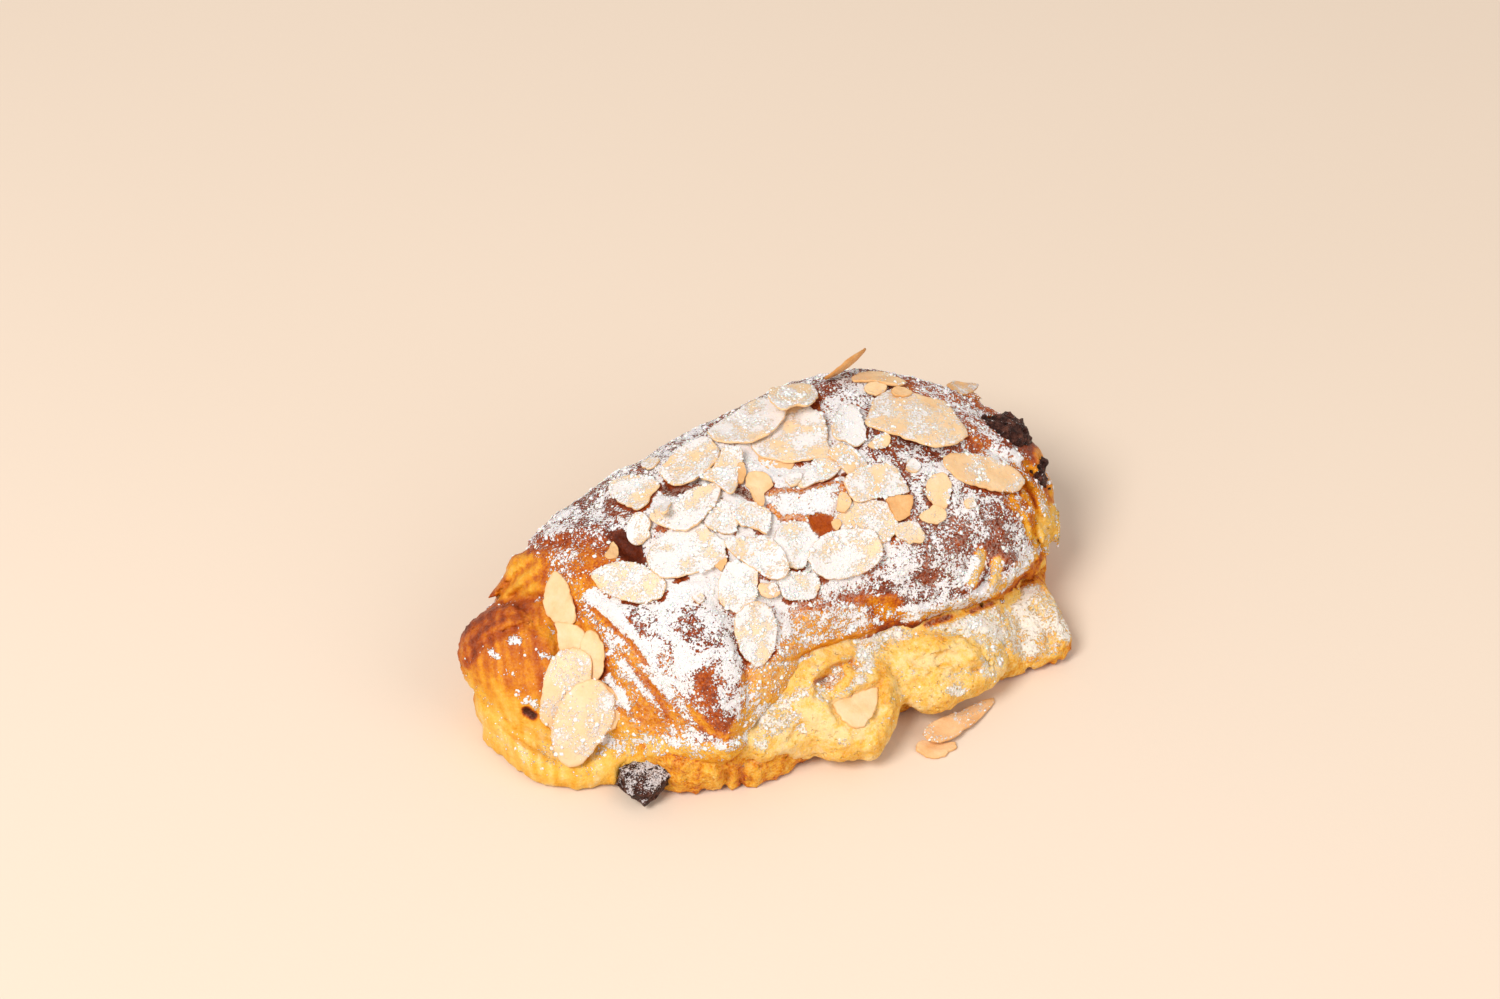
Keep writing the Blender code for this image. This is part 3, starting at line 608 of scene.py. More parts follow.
# ------------------------------------------------------------------ materials
class Shader:
    """A material's node tree, written as expressions."""

    def __init__(self, name):
        self.mat = bpy.data.materials.new(name)
        self.mat.use_nodes = True
        self.tree = self.mat.node_tree
        self.tree.nodes.clear()
        self.out = self.tree.nodes.new("ShaderNodeOutputMaterial")
        self.bsdf = self.tree.nodes.new("ShaderNodeBsdfPrincipled")
        self.tree.links.new(self.bsdf.outputs[0], self.out.inputs["Surface"])
        self.coords = self.tree.nodes.new("ShaderNodeTexCoord").outputs["Object"]

    def put(self, socket, value):
        if isinstance(value, bpy.types.NodeSocket):
            self.tree.links.new(value, socket)
        else:
            socket.default_value = value

    def math(self, op, a, b=None, c=None, clamp=False):
        node = self.tree.nodes.new("ShaderNodeMath")
        node.operation = op
        node.use_clamp = clamp
        for k, v in enumerate((a, b, c)):
            if v is not None:
                self.put(node.inputs[k], v)
        return node.outputs[0]

    def add(self, *values):
        total = values[0]
        for v in values[1:]:
            total = self.math("ADD", total, v)
        return total

    def mul(self, a, b, clamp=False):
        return self.math("MULTIPLY", a, b, clamp=clamp)

    def noise(self, size, detail=2.0, rough=0.5, coords=None, distortion=0.0, offset=None):
        """Blender's noise with features of the given size in mm, 0 to 1."""
        node = self.tree.nodes.new("ShaderNodeTexNoise")
        node.inputs["Scale"].default_value = 1000.0 / size
        node.inputs["Detail"].default_value = detail
        node.inputs["Roughness"].default_value = rough
        node.inputs["Distortion"].default_value = distortion
        where = coords or self.coords
        if offset is not None:
            shift = self.tree.nodes.new("ShaderNodeVectorMath")
            self.put(shift.inputs[0], where)
            shift.inputs[1].default_value = offset
            where = shift.outputs[0]
        self.put(node.inputs["Vector"], where)
        return node.outputs["Fac"]

    def cells(self, size, feature="F1", coords=None, randomness=1.0):
        node = self.tree.nodes.new("ShaderNodeTexVoronoi")
        node.feature = feature
        node.inputs["Scale"].default_value = 1000.0 / size
        node.inputs["Randomness"].default_value = randomness
        self.put(node.inputs["Vector"], coords or self.coords)
        return node.outputs["Distance"]

    def stretched(self, scale, rotation=(0.0, 0.0, 0.0)):
        node = self.tree.nodes.new("ShaderNodeMapping")
        node.inputs["Scale"].default_value = scale
        node.inputs["Rotation"].default_value = rotation
        self.put(node.inputs["Vector"], self.coords)
        return node.outputs[0]

    def attribute(self, name):
        node = self.tree.nodes.new("ShaderNodeAttribute")
        node.attribute_name = name
        return node.outputs["Fac"]

    def ramp(self, value, stops, mode="LINEAR"):
        node = self.tree.nodes.new("ShaderNodeValToRGB")
        node.color_ramp.interpolation = mode
        ramp = node.color_ramp
        while len(ramp.elements) < len(stops):
            ramp.elements.new(0.5)
        for element, (at, colour) in zip(ramp.elements, stops):
            element.position = at
            element.color = (*colour, 1)
        self.put(node.inputs[0], value)
        return node.outputs[0]

    def between(self, value, a, b, c=0.0, d=1.0, smooth=True):
        node = self.tree.nodes.new("ShaderNodeMapRange")
        node.interpolation_type = "SMOOTHSTEP" if smooth else "LINEAR"
        node.clamp = True
        for k, v in enumerate((value, a, b, c, d)):
            self.put(node.inputs[k], v)
        return node.outputs[0]

    def mix(self, factor, a, b):
        node = self.tree.nodes.new("ShaderNodeMix")
        node.data_type = "RGBA"
        self.put(node.inputs[0], factor)
        for socket, v in ((node.inputs[6], a), (node.inputs[7], b)):
            self.put(socket, (*v, 1) if isinstance(v, tuple) and len(v) == 3 else v)
        return node.outputs[2]

    def bump(self, height, distance, strength=1.0):
        """height is 0 to 1 and stands for distance in mm."""
        node = self.tree.nodes.new("ShaderNodeBump")
        node.inputs["Strength"].default_value = strength
        node.inputs["Distance"].default_value = distance * MM
        self.put(node.inputs["Height"], height)
        self.tree.links.new(node.outputs[0], self.bsdf.inputs["Normal"])

    def set(self, **values):
        for key, v in values.items():
            self.put(self.bsdf.inputs[key.replace("_", " ")], v)


# browning, from raw cream to the darkest crust (linear colours); the same ramp also gives the painted shade and painted
# highlights
BAKED = (
    (0.00, (0.93, 0.67, 0.30)),
    (0.12, (0.91, 0.54, 0.105)),
    (0.25, (0.85, 0.42, 0.036)),
    (0.38, (0.77, 0.29, 0.012)),
    (0.50, (0.61, 0.165, 0.006)),
    (0.62, (0.44, 0.078, 0.004)),
    (0.75, (0.255, 0.036, 0.004)),
    (0.88, (0.125, 0.018, 0.004)),
    (1.00, (0.055, 0.011, 0.006)),
)
SUGAR = (0.90, 0.872, 0.880)


def sugar_mask(s, sugar, fine=0.50, ragged=1.5, cluster=4.0):
    """Powdered sugar as grains and ragged clusters; sugar is how much of the surface it covers (0 to 1)."""
    a = s.noise(cluster, 3.0, 0.6)
    b = s.noise(ragged, 5.0, 0.75, offset=(0.3, 0.1, 0.7))
    c = s.noise(fine, 2.0, 0.6, offset=(0.1, 0.8, 0.2))
    field = s.add(s.mul(a, 0.25), s.mul(b, 0.38), s.mul(c, 0.42))
    edge = s.between(sugar, 0.0, 1.0, 0.72, 0.35, smooth=False)
    low, high = s.math("SUBTRACT", edge, 0.016), s.math("ADD", edge, 0.016)
    return s.between(field, low, high), field


def pastry(name, shine=0.5, pores=0.0, fine_bump=0.35, subsurface=0.12, contrast=1.0, powder=SUGAR, veil=(0.80, 0.68, 0.58)):
    s = Shader(name)
    bake_and_painted_light, sugar, gloss, film = s.attribute("bake_and_painted_light"), s.attribute("sugar"), s.attribute("gloss"), s.attribute("film")
    broad = s.math("SUBTRACT", s.noise(7.0, 3.0, 0.55), 0.5)
    fine = s.math("SUBTRACT", s.noise(1.5, 6.0, 0.7, offset=(0.2, 0.5, 0.1)), 0.5)
    grit = s.math("SUBTRACT", s.noise(0.55, 2.0, 0.6, offset=(0.7, 0.3, 0.5)), 0.5)
    calm = s.between(gloss, 0.55, 0.95, 1.0, 0.42)
    tone = s.add(bake_and_painted_light, s.mul(broad, 0.24), s.mul(s.mul(fine, 0.60 * contrast), calm), s.mul(s.mul(grit, 0.50 * contrast), calm))
    colour = s.ramp(tone, BAKED)
    mask, field = sugar_mask(s, sugar)
    thin = s.mul(film, s.between(s.noise(0.6, 4.0, 0.75, offset=(0.9, 0.2, 0.4)), 0.42, 0.60), clamp=True)
    under = s.mix(thin, colour, veil)
    colour = s.mix(s.mul(mask, 0.95), under, powder)
    # the glaze-like shine of the baked parts, dull under sugar
    rough = s.between(gloss, 0.0, 1.0, 0.62, 0.38, smooth=False)
    rough = s.add(rough, s.mul(s.math("SUBTRACT", s.noise(2.2, 3.0, 0.6), 0.5), 0.35))
    rough = s.math("MAXIMUM", rough, s.mul(mask, 0.95))
    s.set(Base_Color=colour, Roughness=rough, Specular_IOR_Level=s.between(mask, 0.0, 1.0, s.between(gloss, 0.3, 1.0, 0.3 * shine, shine, smooth=False), 0.05))
    s.bsdf.inputs["Subsurface Weight"].default_value = subsurface
    s.bsdf.inputs["Subsurface Radius"].default_value = (1.0, 0.45, 0.2)
    s.bsdf.inputs["Subsurface Scale"].default_value = 1.3 * MM
    height = s.add(s.mul(s.noise(0.8, 4.0, 0.65), 0.7), s.mul(s.noise(2.6, 3.0, 0.5), 0.5), s.mul(mask, 0.40), s.mul(s.noise(0.30, 1.0, 0.5), s.mul(mask, 0.35)))
    if pores:
        pits = s.between(s.cells(1.7), 0.08, 0.30, 0.0, 1.0)
        height = s.add(height, s.mul(pits, pores))
    s.bump(height, fine_bump)
    return s.mat


def almond_material():
    s = Shader("flaked_almond")
    rim, sugar, tone = s.attribute("rim"), s.attribute("sugar"), s.attribute("tone")
    grain = s.math("SUBTRACT", s.noise(1.2, 5.0, 0.65), 0.5)
    broad = s.math("SUBTRACT", s.noise(5.0, 2.0, 0.5), 0.5)
    value = s.add(tone, s.mul(grain, 0.26), s.mul(broad, 0.30), s.mul(rim, 0.17))
    colour = s.ramp(value, ((0.0, (0.91, 0.70, 0.48)), (0.25, (0.88, 0.595, 0.33)), (0.45, (0.80, 0.45, 0.19)), (0.7, (0.58, 0.25, 0.065)), (1.0, (0.32, 0.10, 0.028))))
    mask, _ = sugar_mask(s, sugar, 0.46, 1.0, 3.0)
    haze = s.mul(s.between(sugar, 0.25, 0.70, 0.0, 0.85), s.between(s.noise(0.6, 4.0, 0.75, offset=(0.4, 0.2, 0.9)), 0.36, 0.60))
    colour = s.mix(haze, colour, (0.835, 0.730, 0.625))
    colour = s.mix(s.mul(mask, 0.88), colour, (0.855, 0.818, 0.815))
    s.set(Base_Color=colour, Roughness=s.math("MAXIMUM", s.add(0.46, s.mul(grain, 0.25)), s.mul(mask, 0.95)), Specular_IOR_Level=s.between(mask, 0.0, 1.0, 0.25, 0.05))
    s.bsdf.inputs["Subsurface Weight"].default_value = 0.15
    s.bsdf.inputs["Subsurface Radius"].default_value = (1.0, 0.6, 0.35)
    s.bsdf.inputs["Subsurface Scale"].default_value = 1.0 * MM
    s.bump(s.add(s.mul(s.noise(0.9, 4.0, 0.65), 0.6), s.mul(mask, 0.35), s.mul(s.noise(0.30, 1.0, 0.5), s.mul(mask, 0.4))), 0.24)
    return s.mat


def chocolate_material():
    s = Shader("chocolate_stick")
    sugar = s.attribute("sugar")
    tone = s.noise(1.3, 5.0, 0.65)
    colour = s.ramp(tone, ((0.3, (0.010, 0.003, 0.002)), (0.50, (0.050, 0.014, 0.009)), (0.68, (0.19, 0.07, 0.045))))
    mask, _ = sugar_mask(s, sugar, 0.36, 0.7, 1.8)
    colour = s.mix(s.mul(mask, 0.9), colour, (0.82, 0.75, 0.75))
    s.set(Base_Color=colour, Roughness=s.math("MAXIMUM", s.between(tone, 0.3, 0.7, 0.30, 0.55), s.mul(mask, 0.9)), Specular_IOR_Level=s.between(mask, 0.0, 1.0, 0.22, 0.05))
    s.bump(s.add(s.mul(s.noise(0.9, 4.0, 0.7), 0.9), s.mul(s.cells(0.9), 0.8), s.mul(mask, 0.3)), 1.0)
    return s.mat


def sugar_material():
    s = Shader("powdered_sugar")
    colour = s.ramp(s.noise(0.6, 3.0, 0.6), ((0.3, (0.87, 0.84, 0.83)), (0.7, (0.96, 0.94, 0.93))))
    s.set(Base_Color=colour)
    s.bsdf.inputs["Roughness"].default_value = 0.95
    s.bsdf.inputs["Subsurface Weight"].default_value = 0.25
    s.bsdf.inputs["Subsurface Scale"].default_value = 0.4 * MM
    s.bump(s.noise(0.25, 3.0, 0.6), 0.12)
    return s.mat


PASTRY = pastry("baked_crust", shine=0.16, fine_bump=0.55, subsurface=0.05)
BASE = pastry("base_pastry", shine=0.12, pores=0.30, fine_bump=0.60, subsurface=0.08, contrast=1.35, powder=(0.90, 0.825, 0.735), veil=(0.83, 0.66, 0.47))
CREAM = pastry("almond_cream_filling", shine=0.16, pores=0.50, fine_bump=0.60, subsurface=0.15, contrast=0.65, powder=(0.90, 0.825, 0.735), veil=(0.85, 0.69, 0.47))
ALMOND = almond_material()
CHOCOLATE = chocolate_material()
POWDER = sugar_material()


# ------------------------------------------------------------------ painting
def paint(p, view, rows, start):
    """Values on points, laid in the view one over another: ("line", value, weight, radius, softness, places) or
    ("area", value, weight, softness, places), lengths in mm."""
    uv, mm, seen = view
    value = np.array(start, float) * np.ones(len(p))
    for kind, to, weight, *rest in rows:
        if kind == "line":
            radius, soft, *line = rest
            line = np.array(line, float)
            i = near(uv, line, (radius + soft + 1.5) / 0.22)
            i = i[seen[i] > 0.01]
            if not len(i):
                continue
            inside = radius - line_distance(uv[i], line)[0] * mm[i] + min(1.0, radius * 0.4) * (0.6 * noise(p[i], 3.4, 5) + 0.4 * noise(p[i], 1.3, 6))
        else:
            soft, *shape = rest
            i, inside = within(p, view, shape, 1.0)
            if not len(i):
                continue
        w = weight * step(-soft, soft, inside) * seen[i]
        value[i] += (to - value[i]) * w
    return value


# ------------------------------------------------------------------ where the flaked almonds lie
THICK = 0.62
# name: how much sugar, how brown, and its edge as seen in the view (in the order they fell)
FLAKES = {
    "flake_03": (0.14, 0.28, (556, 570), (562, 575), (568, 584), (572, 597), (576, 611), (576, 621), (561, 622), (552, 620), (547, 616), (544, 608), (544, 597), (547, 583), (551, 575)),
    "flake_01": (0.10, 0.26, (553, 621), (577, 623), (582, 628), (583, 640), (581, 650), (560, 650), (558, 640), (557, 631)),
    "flake_02": (0.18, 0.26, (584, 630), (595, 630), (601, 637), (605, 649), (605, 662), (603, 674), (599, 675), (596, 668), (591, 654), (584, 646)),
    "flake_05": (0.40, 0.24, (558, 651), (575, 646), (586, 649), (592, 660), (595, 674), (597, 690), (592, 712), (580, 730), (562, 740), (546, 738), (540, 723), (539, 708), (542, 692), (545, 674), (551, 660)),
    "flake_04": (0.45, 0.22, (596, 678), (607, 686), (614, 695), (616, 708), (613, 725), (605, 737), (596, 748), (587, 760), (577, 767), (568, 768), (559, 761), (553, 749), (551, 737), (553, 721), (557, 708), (564, 695), (576, 684), (587, 679)),
    "flake_06": (0.62, 0.20, (590, 574), (598, 568), (610, 563), (622, 561), (634, 562), (646, 566), (656, 573), (666, 579), (667, 588), (662, 598), (652, 602), (638, 604), (626, 602), (614, 597), (602, 592), (593, 583)),
    "flake_07": (0.84, 0.14, (650, 548), (660, 538), (668, 533), (680, 531), (692, 528), (702, 527), (712, 532), (719, 541), (724, 549), (728, 552), (727, 558), (720, 564), (708, 570), (694, 574), (681, 577), (670, 579), (658, 577), (650, 569), (645, 560)),
    "flake_08": (0.76, 0.16, (703, 521), (712, 509), (722, 499), (729, 501), (732, 513), (735, 534), (722, 534), (708, 528)),
    "flake_09": (0.70, 0.20, (647, 516), (658, 508), (670, 502), (682, 496), (691, 490), (699, 486), (708, 486), (718, 489), (723, 495), (717, 503), (710, 510), (703, 519), (697, 526), (688, 530), (680, 532), (670, 530), (660, 526), (653, 522)),
    "flake_10": (0.60, 0.26, (608, 490), (610, 482), (620, 477), (633, 475), (645, 475), (656, 479), (660, 485), (657, 491), (652, 496), (649, 503), (642, 508), (636, 511), (630, 508), (621, 504), (612, 498)),
    "flake_12": (0.58, 0.22, (722, 446), (734, 445), (743, 448), (742, 462), (739, 475), (738, 486), (733, 494), (727, 494), (721, 488), (714, 482), (706, 480), (700, 479), (707, 472), (716, 463), (720, 455)),
    "flake_11": (0.60, 0.28, (659, 470), (664, 463), (671, 457), (678, 449), (690, 442), (701, 437), (711, 437), (716, 445), (721, 452), (718, 459), (710, 468), (703, 475), (695, 480), (686, 484), (677, 486), (668, 483), (662, 478)),
    "flake_14": (0.88, 0.12, (725, 562), (735, 560), (746, 564), (755, 570), (758, 580), (758, 592), (757, 602), (750, 607), (738, 609), (726, 608), (719, 602), (718, 590), (720, 576)),
    "flake_15": (0.86, 0.14, (776, 532), (782, 524), (792, 521), (803, 521), (810, 527), (812, 540), (812, 553), (808, 563), (802, 570), (795, 572), (789, 564), (783, 552), (777, 542)),
    "flake_16": (0.84, 0.14, (780, 592), (784, 583), (791, 576), (802, 573), (812, 572), (819, 577), (821, 586), (817, 594), (813, 599), (798, 600), (785, 599)),
    "flake_17": (0.60, 0.30, (722, 540), (734, 538), (748, 536), (762, 536), (774, 540), (783, 550), (788, 562), (789, 572), (784, 579), (774, 580), (764, 577), (756, 570), (746, 564), (737, 558), (729, 551)),
    "flake_13": (0.74, 0.20, (734, 504), (744, 502), (754, 503), (764, 507), (771, 512), (771, 520), (769, 531), (766, 536), (758, 529), (748, 527), (741, 527), (736, 519), (733, 511)),
    "flake_18": (0.72, 0.16, (756, 600), (766, 603), (773, 611), (777, 627), (776, 642), (772, 655), (764, 665), (754, 668), (746, 661), (739, 648), (734, 632), (735, 616), (744, 604)),
    "flake_19": (0.58, 0.24, (838, 512), (846, 505), (856, 502), (870, 499), (883, 498), (890, 509), (896, 521), (898, 532), (890, 541), (880, 546), (866, 543), (852, 536), (842, 528), (836, 520)),
    "flake_20": (0.74, 0.20, (813, 545), (822, 535), (834, 530), (848, 528), (862, 527), (874, 530), (880, 538), (884, 548), (880, 562), (870, 571), (858, 576), (845, 579), (830, 580), (820, 577), (812, 570), (808, 560), (809, 552)),
    "flake_21": (0.10, 0.30, (745, 477), (749, 472), (757, 471), (766, 472), (772, 480), (774, 487), (766, 491), (764, 497), (765, 506), (757, 505), (753, 499), (751, 493), (746, 486)),
    "flake_22": (0.66, 0.20, (796, 487), (800, 479), (806, 472), (813, 466), (821, 460), (830, 456), (839, 457), (843, 464), (841, 475), (832, 479), (822, 481), (812, 485), (804, 489)),
    "flake_24": (0.68, 0.22, (750, 448), (757, 441), (768, 436), (778, 430), (788, 421), (792, 413), (802, 408), (812, 408), (820, 412), (826, 421), (828, 431), (827, 443), (824, 454), (816, 459), (804, 461), (790, 463), (776, 461), (763, 458), (754, 454)),
    "flake_23": (0.62, 0.22, (706, 432), (716, 424), (728, 417), (740, 410), (750, 402), (760, 398), (770, 400), (780, 408), (787, 415), (778, 426), (770, 434), (760, 439), (751, 443), (737, 443), (723, 443), (714, 441), (710, 436)),
    "flake_25": (0.66, 0.26, (768, 396), (769, 388), (783, 386), (796, 384), (807, 384), (815, 388), (819, 394), (817, 400), (811, 404), (806, 407), (798, 405), (790, 407), (785, 411), (777, 409), (771, 403)),
    "flake_26": (0.82, 0.14, (836, 414), (842, 406), (850, 403), (858, 408), (862, 418), (866, 430), (866, 439), (862, 446), (857, 448), (849, 444), (840, 441), (833, 437), (831, 428), (832, 420)),
    "flake_27": (0.48, 0.28, (828, 450), (838, 442), (849, 446), (856, 451), (863, 459), (870, 464), (861, 469), (849, 474), (843, 478), (840, 468), (836, 461), (828, 460)),
    "flake_28": (0.62, 0.24, (843, 480), (850, 472), (861, 468), (872, 465), (884, 463), (894, 464), (901, 474), (907, 484), (910, 493), (898, 496), (884, 497), (870, 500), (856, 503), (850, 499), (846, 490)),
    "flake_29": (0.30, 0.24, (926, 482), (933, 474), (943, 472), (951, 478), (952, 490), (949, 502), (946, 512), (938, 510), (930, 502), (925, 493)),
    "flake_30": (0.06, 0.46, (884, 498), (899, 495), (913, 494), (912, 504), (911, 514), (905, 519), (897, 522), (893, 515), (889, 506)),
    "flake_31": (0.34, 0.26, (866, 444), (874, 436), (884, 431), (891, 436), (890, 445), (882, 449), (873, 449)),
    "flake_32": (0.30, 0.32, (850, 378), (858, 373), (872, 371), (886, 373), (898, 378), (907, 382), (903, 386), (890, 386), (878, 382), (864, 382), (853, 382)),
    "flake_33": (0.46, 0.30, (864, 425), (868, 412), (873, 400), (881, 393), (893, 389), (905, 389), (916, 394), (929, 398), (943, 400), (952, 408), (960, 421), (968, 430), (968, 437), (960, 443), (948, 446), (935, 448), (925, 446), (912, 441), (900, 437), (887, 433), (874, 429)),
    "flake_34": (0.42, 0.34, (940, 456), (952, 453), (968, 454), (984, 456), (1000, 461), (1013, 467), (1023, 476), (1026, 484), (1020, 491), (1009, 493), (996, 492), (982, 489), (968, 485), (955, 478), (946, 468)),
    "flake_35": (0.06, 0.24, (833, 703), (843, 699), (858, 693), (872, 687), (879, 686), (878, 700), (874, 714), (866, 725), (857, 729), (848, 725), (840, 718), (835, 710)),
}
# name: how much sugar, how brown, turn, length, width, kind
LOOSE_FLAKES = {
    "flake_36": (0.04, 0.52, 6, 14.0, 6.4, "almond"),
    "flake_37": (0.16, 0.34, -10, 9.5, 5.0, "chip"),
    "flake_38": (0.34, 0.40, -8, 18.5, 8.0, "almond"),
}


def outline(kind, length, width, seed, n):
    t = np.arange(n) * 2 * math.pi / n + 0.5 * math.pi / n
    power = {"almond": 1.0, "oval": 1.0, "chip": 0.6, "strip": 0.75, "leaf": 1.0}[kind]
    c, s = np.cos(t), np.sin(t)
    u, v = np.sign(c) * abs(c) ** power, np.sign(s) * abs(s) ** power
    if kind in ("almond", "leaf"):
        v = v * (1 - 0.34 * np.clip(c, 0, 1) ** 1.5)
    r = 1 + 0.035 * np.sin(2 * t + seed) + 0.03 * np.sin(3 * t + 2.1 * seed)
    if kind in ("chip", "strip"):
        r = r + 0.06 * np.sin(4 * t + 1.7 * seed)
    # broken edges: small nicks, more along one side
    q = np.stack([np.cos(t) * 3, np.sin(t) * 3, np.full(n, seed * 5.3)], 1)
    uneven = 0.5 + 0.5 * np.sin(t + 1.9 * seed)
    r = r + 0.040 * noise(q, 1.1, 7) + (0.012 + 0.040 * uneven) * noise(q, 0.34, 8) - 0.05 * step(0.25, 0.5, noise(q, 0.8, 9)) * uneven
    if kind == "leaf":
        r = r - 0.07 * np.clip(-s, 0, 1) * (0.5 + 0.5 * np.sign(np.sin(9 * t)))
    u, v = u * r, v * r
    return u / abs(u).max() * length / 2, v / abs(v).max() * width / 2


def ways_of(uv):
    """Unit directions from the eye through places in the view."""
    uv = np.array(uv, float)
    ways = right * (uv[:, :1] - WIDE / 2) - up * (uv[:, 1:] - HIGH / 2) - back * FOCAL
    return ways / np.linalg.norm(ways, axis=1, keepdims=True)


def ground_along(ways):
    """How far along each ray the dough or the cream lies; past the outline, infinitely far."""
    far = np.full(len(ways), np.inf)
    for k, way in enumerate(ways):
        for tree in CAD.values():
            found = tree.ray_cast(EYE, way)
            if found[0] is not None:
                far[k] = min(far[k], found[3])
    return far


class Plate:
    """Where a flake lies: its middle, its directions and the gentle curve of its middle layer."""

    def __init__(self, middle, u_dir, v_dir, normal, bend, thick):
        self.middle, self.u_dir, self.v_dir, self.normal, self.bend, self.thick = middle, u_dir, v_dir, normal, bend, thick

    def meet(self, ways):
        """How far along rays from the eye the plate's middle layer lies, and where on the plate they meet it."""
        w = np.zeros(len(ways))
        for _ in range(4):
            t = ((self.middle - EYE) @ self.normal + w) / (ways @ self.normal)
            p = EYE + ways * t[:, None] - self.middle
            u, v = p @ self.u_dir, p @ self.v_dir
            w = np.clip(self.curve(u, v), -6, 6)
        return t, u, v

    def lowered(self, by):
        """The same plate lying deeper."""
        return Plate(self.middle - self.normal * by, self.u_dir, self.v_dir, self.normal, self.bend, self.thick)

    def trace(self, edge, seed, n):
        """Takes the outline that is seen at these places in the view, with fine nicks along the broken edge."""
        _t, u, v = self.meet(ways_of(edge))
        uv = np.stack([u, v], 1)
        for _ in range(2):  # rounded corners
            after = np.roll(uv, -1, axis=0)
            uv = np.stack([uv * 0.8 + after * 0.2, uv * 0.2 + after * 0.8], 1).reshape(-1, 2)
        x, y = uv.T
        x2, y2 = np.roll(x, -1), np.roll(y, -1)
        cross = x * y2 - x2 * y
        cu, cv = ((x + x2) * cross).sum() / (3 * cross.sum()), ((y + y2) * cross).sum() / (3 * cross.sum())
        q = self.bend
        self.bend = np.array([self.curve(cu, cv), q[1] + 2 * q[3] * cu + q[4] * cv, q[2] + q[4] * cu + 2 * q[5] * cv, q[3], q[4], q[5]])
        self.middle = self.middle + self.u_dir * cu + self.v_dir * cv
        # the edge at even steps of angle, from its points every 0.2 mm or so
        x, y = x - cu, y - cv
        k = np.linspace(0, 1, 12, endpoint=False)[:, None]
        x, y = (x * (1 - k) + np.roll(x, -1) * k).T.ravel(), (y * (1 - k) + np.roll(y, -1) * k).T.ravel()
        angle, reach = np.arctan2(y, x) % (2 * math.pi), np.hypot(x, y)
        order = np.argsort(angle)
        angle, reach = angle[order], reach[order]
        t = np.arange(n) * 2 * math.pi / n + 0.5 * math.pi / n
        r = np.interp(t, np.concatenate([[angle[-1] - 2 * math.pi], angle, [angle[0] + 2 * math.pi]]), np.concatenate([[reach[-1]], reach, [reach[0]]]))
        at = np.stack([r * np.cos(t), r * np.sin(t), np.full(n, seed * 5.3)], 1)
        r = r + 0.20 * noise(at, 2.0, 7) + 0.13 * noise(at, 0.9, 8) - 0.25 * step(0.25, 0.5, noise(at, 2.2, 9))
        ou, ov = r * np.cos(t), r * np.sin(t)
        self.set_outline(ou, ov, 2 * abs(ou).max(), 2 * abs(ov).max())
        return self

    def curve(self, u, v):
        q = self.bend
        return q[0] + q[1] * u + q[2] * v + q[3] * u * u + q[4] * u * v + q[5] * v * v

    def local(self, p):
        r = p - self.middle
        return r @ self.u_dir, r @ self.v_dir, r @ self.normal

    def points(self, u, v, w):
        """w is counted from the plate's middle layer."""
        return self.middle + np.outer(u, self.u_dir) + np.outer(v, self.v_dir) + np.outer(w + self.curve(u, v), self.normal)

    def set_outline(self, ou, ov, length, width):
        self.ou, self.ov, self.length, self.width = ou, ov, length, width
        t = np.arctan2(ov / (width / 2), ou / (length / 2)) % (2 * math.pi)
        r = np.hypot(ou / (length / 2), ov / (width / 2))
        order = np.argsort(t)
        t, r = t[order], r[order]
        self.table = np.concatenate([[t[-1] - 2 * math.pi], t, [t[0] + 2 * math.pi]]), np.concatenate([[r[-1]], r, [r[0]]])

    def reach(self, u, v):
        """0 at the middle, 1 on the outline."""
        a, b = u / (self.length / 2), v / (self.width / 2)
        return np.hypot(a, b) / np.interp(np.arctan2(b, a) % (2 * math.pi), *self.table)


def plate_of(node, turn):
    """The CAD flake as a plate: the visual flake takes its place and its bend."""
    p = np.array([v.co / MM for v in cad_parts[node].data.vertices])
    mean = p.mean(0)
    _w, axes = np.linalg.eigh((p - mean).T @ (p - mean))
    normal = axes[:, 0] * (1 if axes[2, 0] > 0 else -1)
    a = math.radians(turn)
    way = np.array([math.cos(a), math.sin(a), 0.0])
    u_dir = way - normal * (way @ normal)
    u_dir /= np.linalg.norm(u_dir)
    v_dir = np.cross(normal, u_dir)
    r = p - mean
    u, v = r @ u_dir, r @ v_dir
    middle = mean + u_dir * (u.max() + u.min()) / 2 + v_dir * (v.max() + v.min()) / 2
    u, v, w = (p - middle) @ u_dir, (p - middle) @ v_dir, (p - middle) @ normal
    m = np.stack([np.ones_like(u), u, v, u * u, u * v, v * v], 1)
    bend = np.linalg.lstsq(m, w, rcond=None)[0]
    half = np.median(np.abs(w - m @ bend))
    return Plate(middle, u_dir, v_dir, normal, bend, 2 * half)


EDGE_POINTS = 72
PLATES = {node: plate_of(node, 0.0) for node in FLAKES}


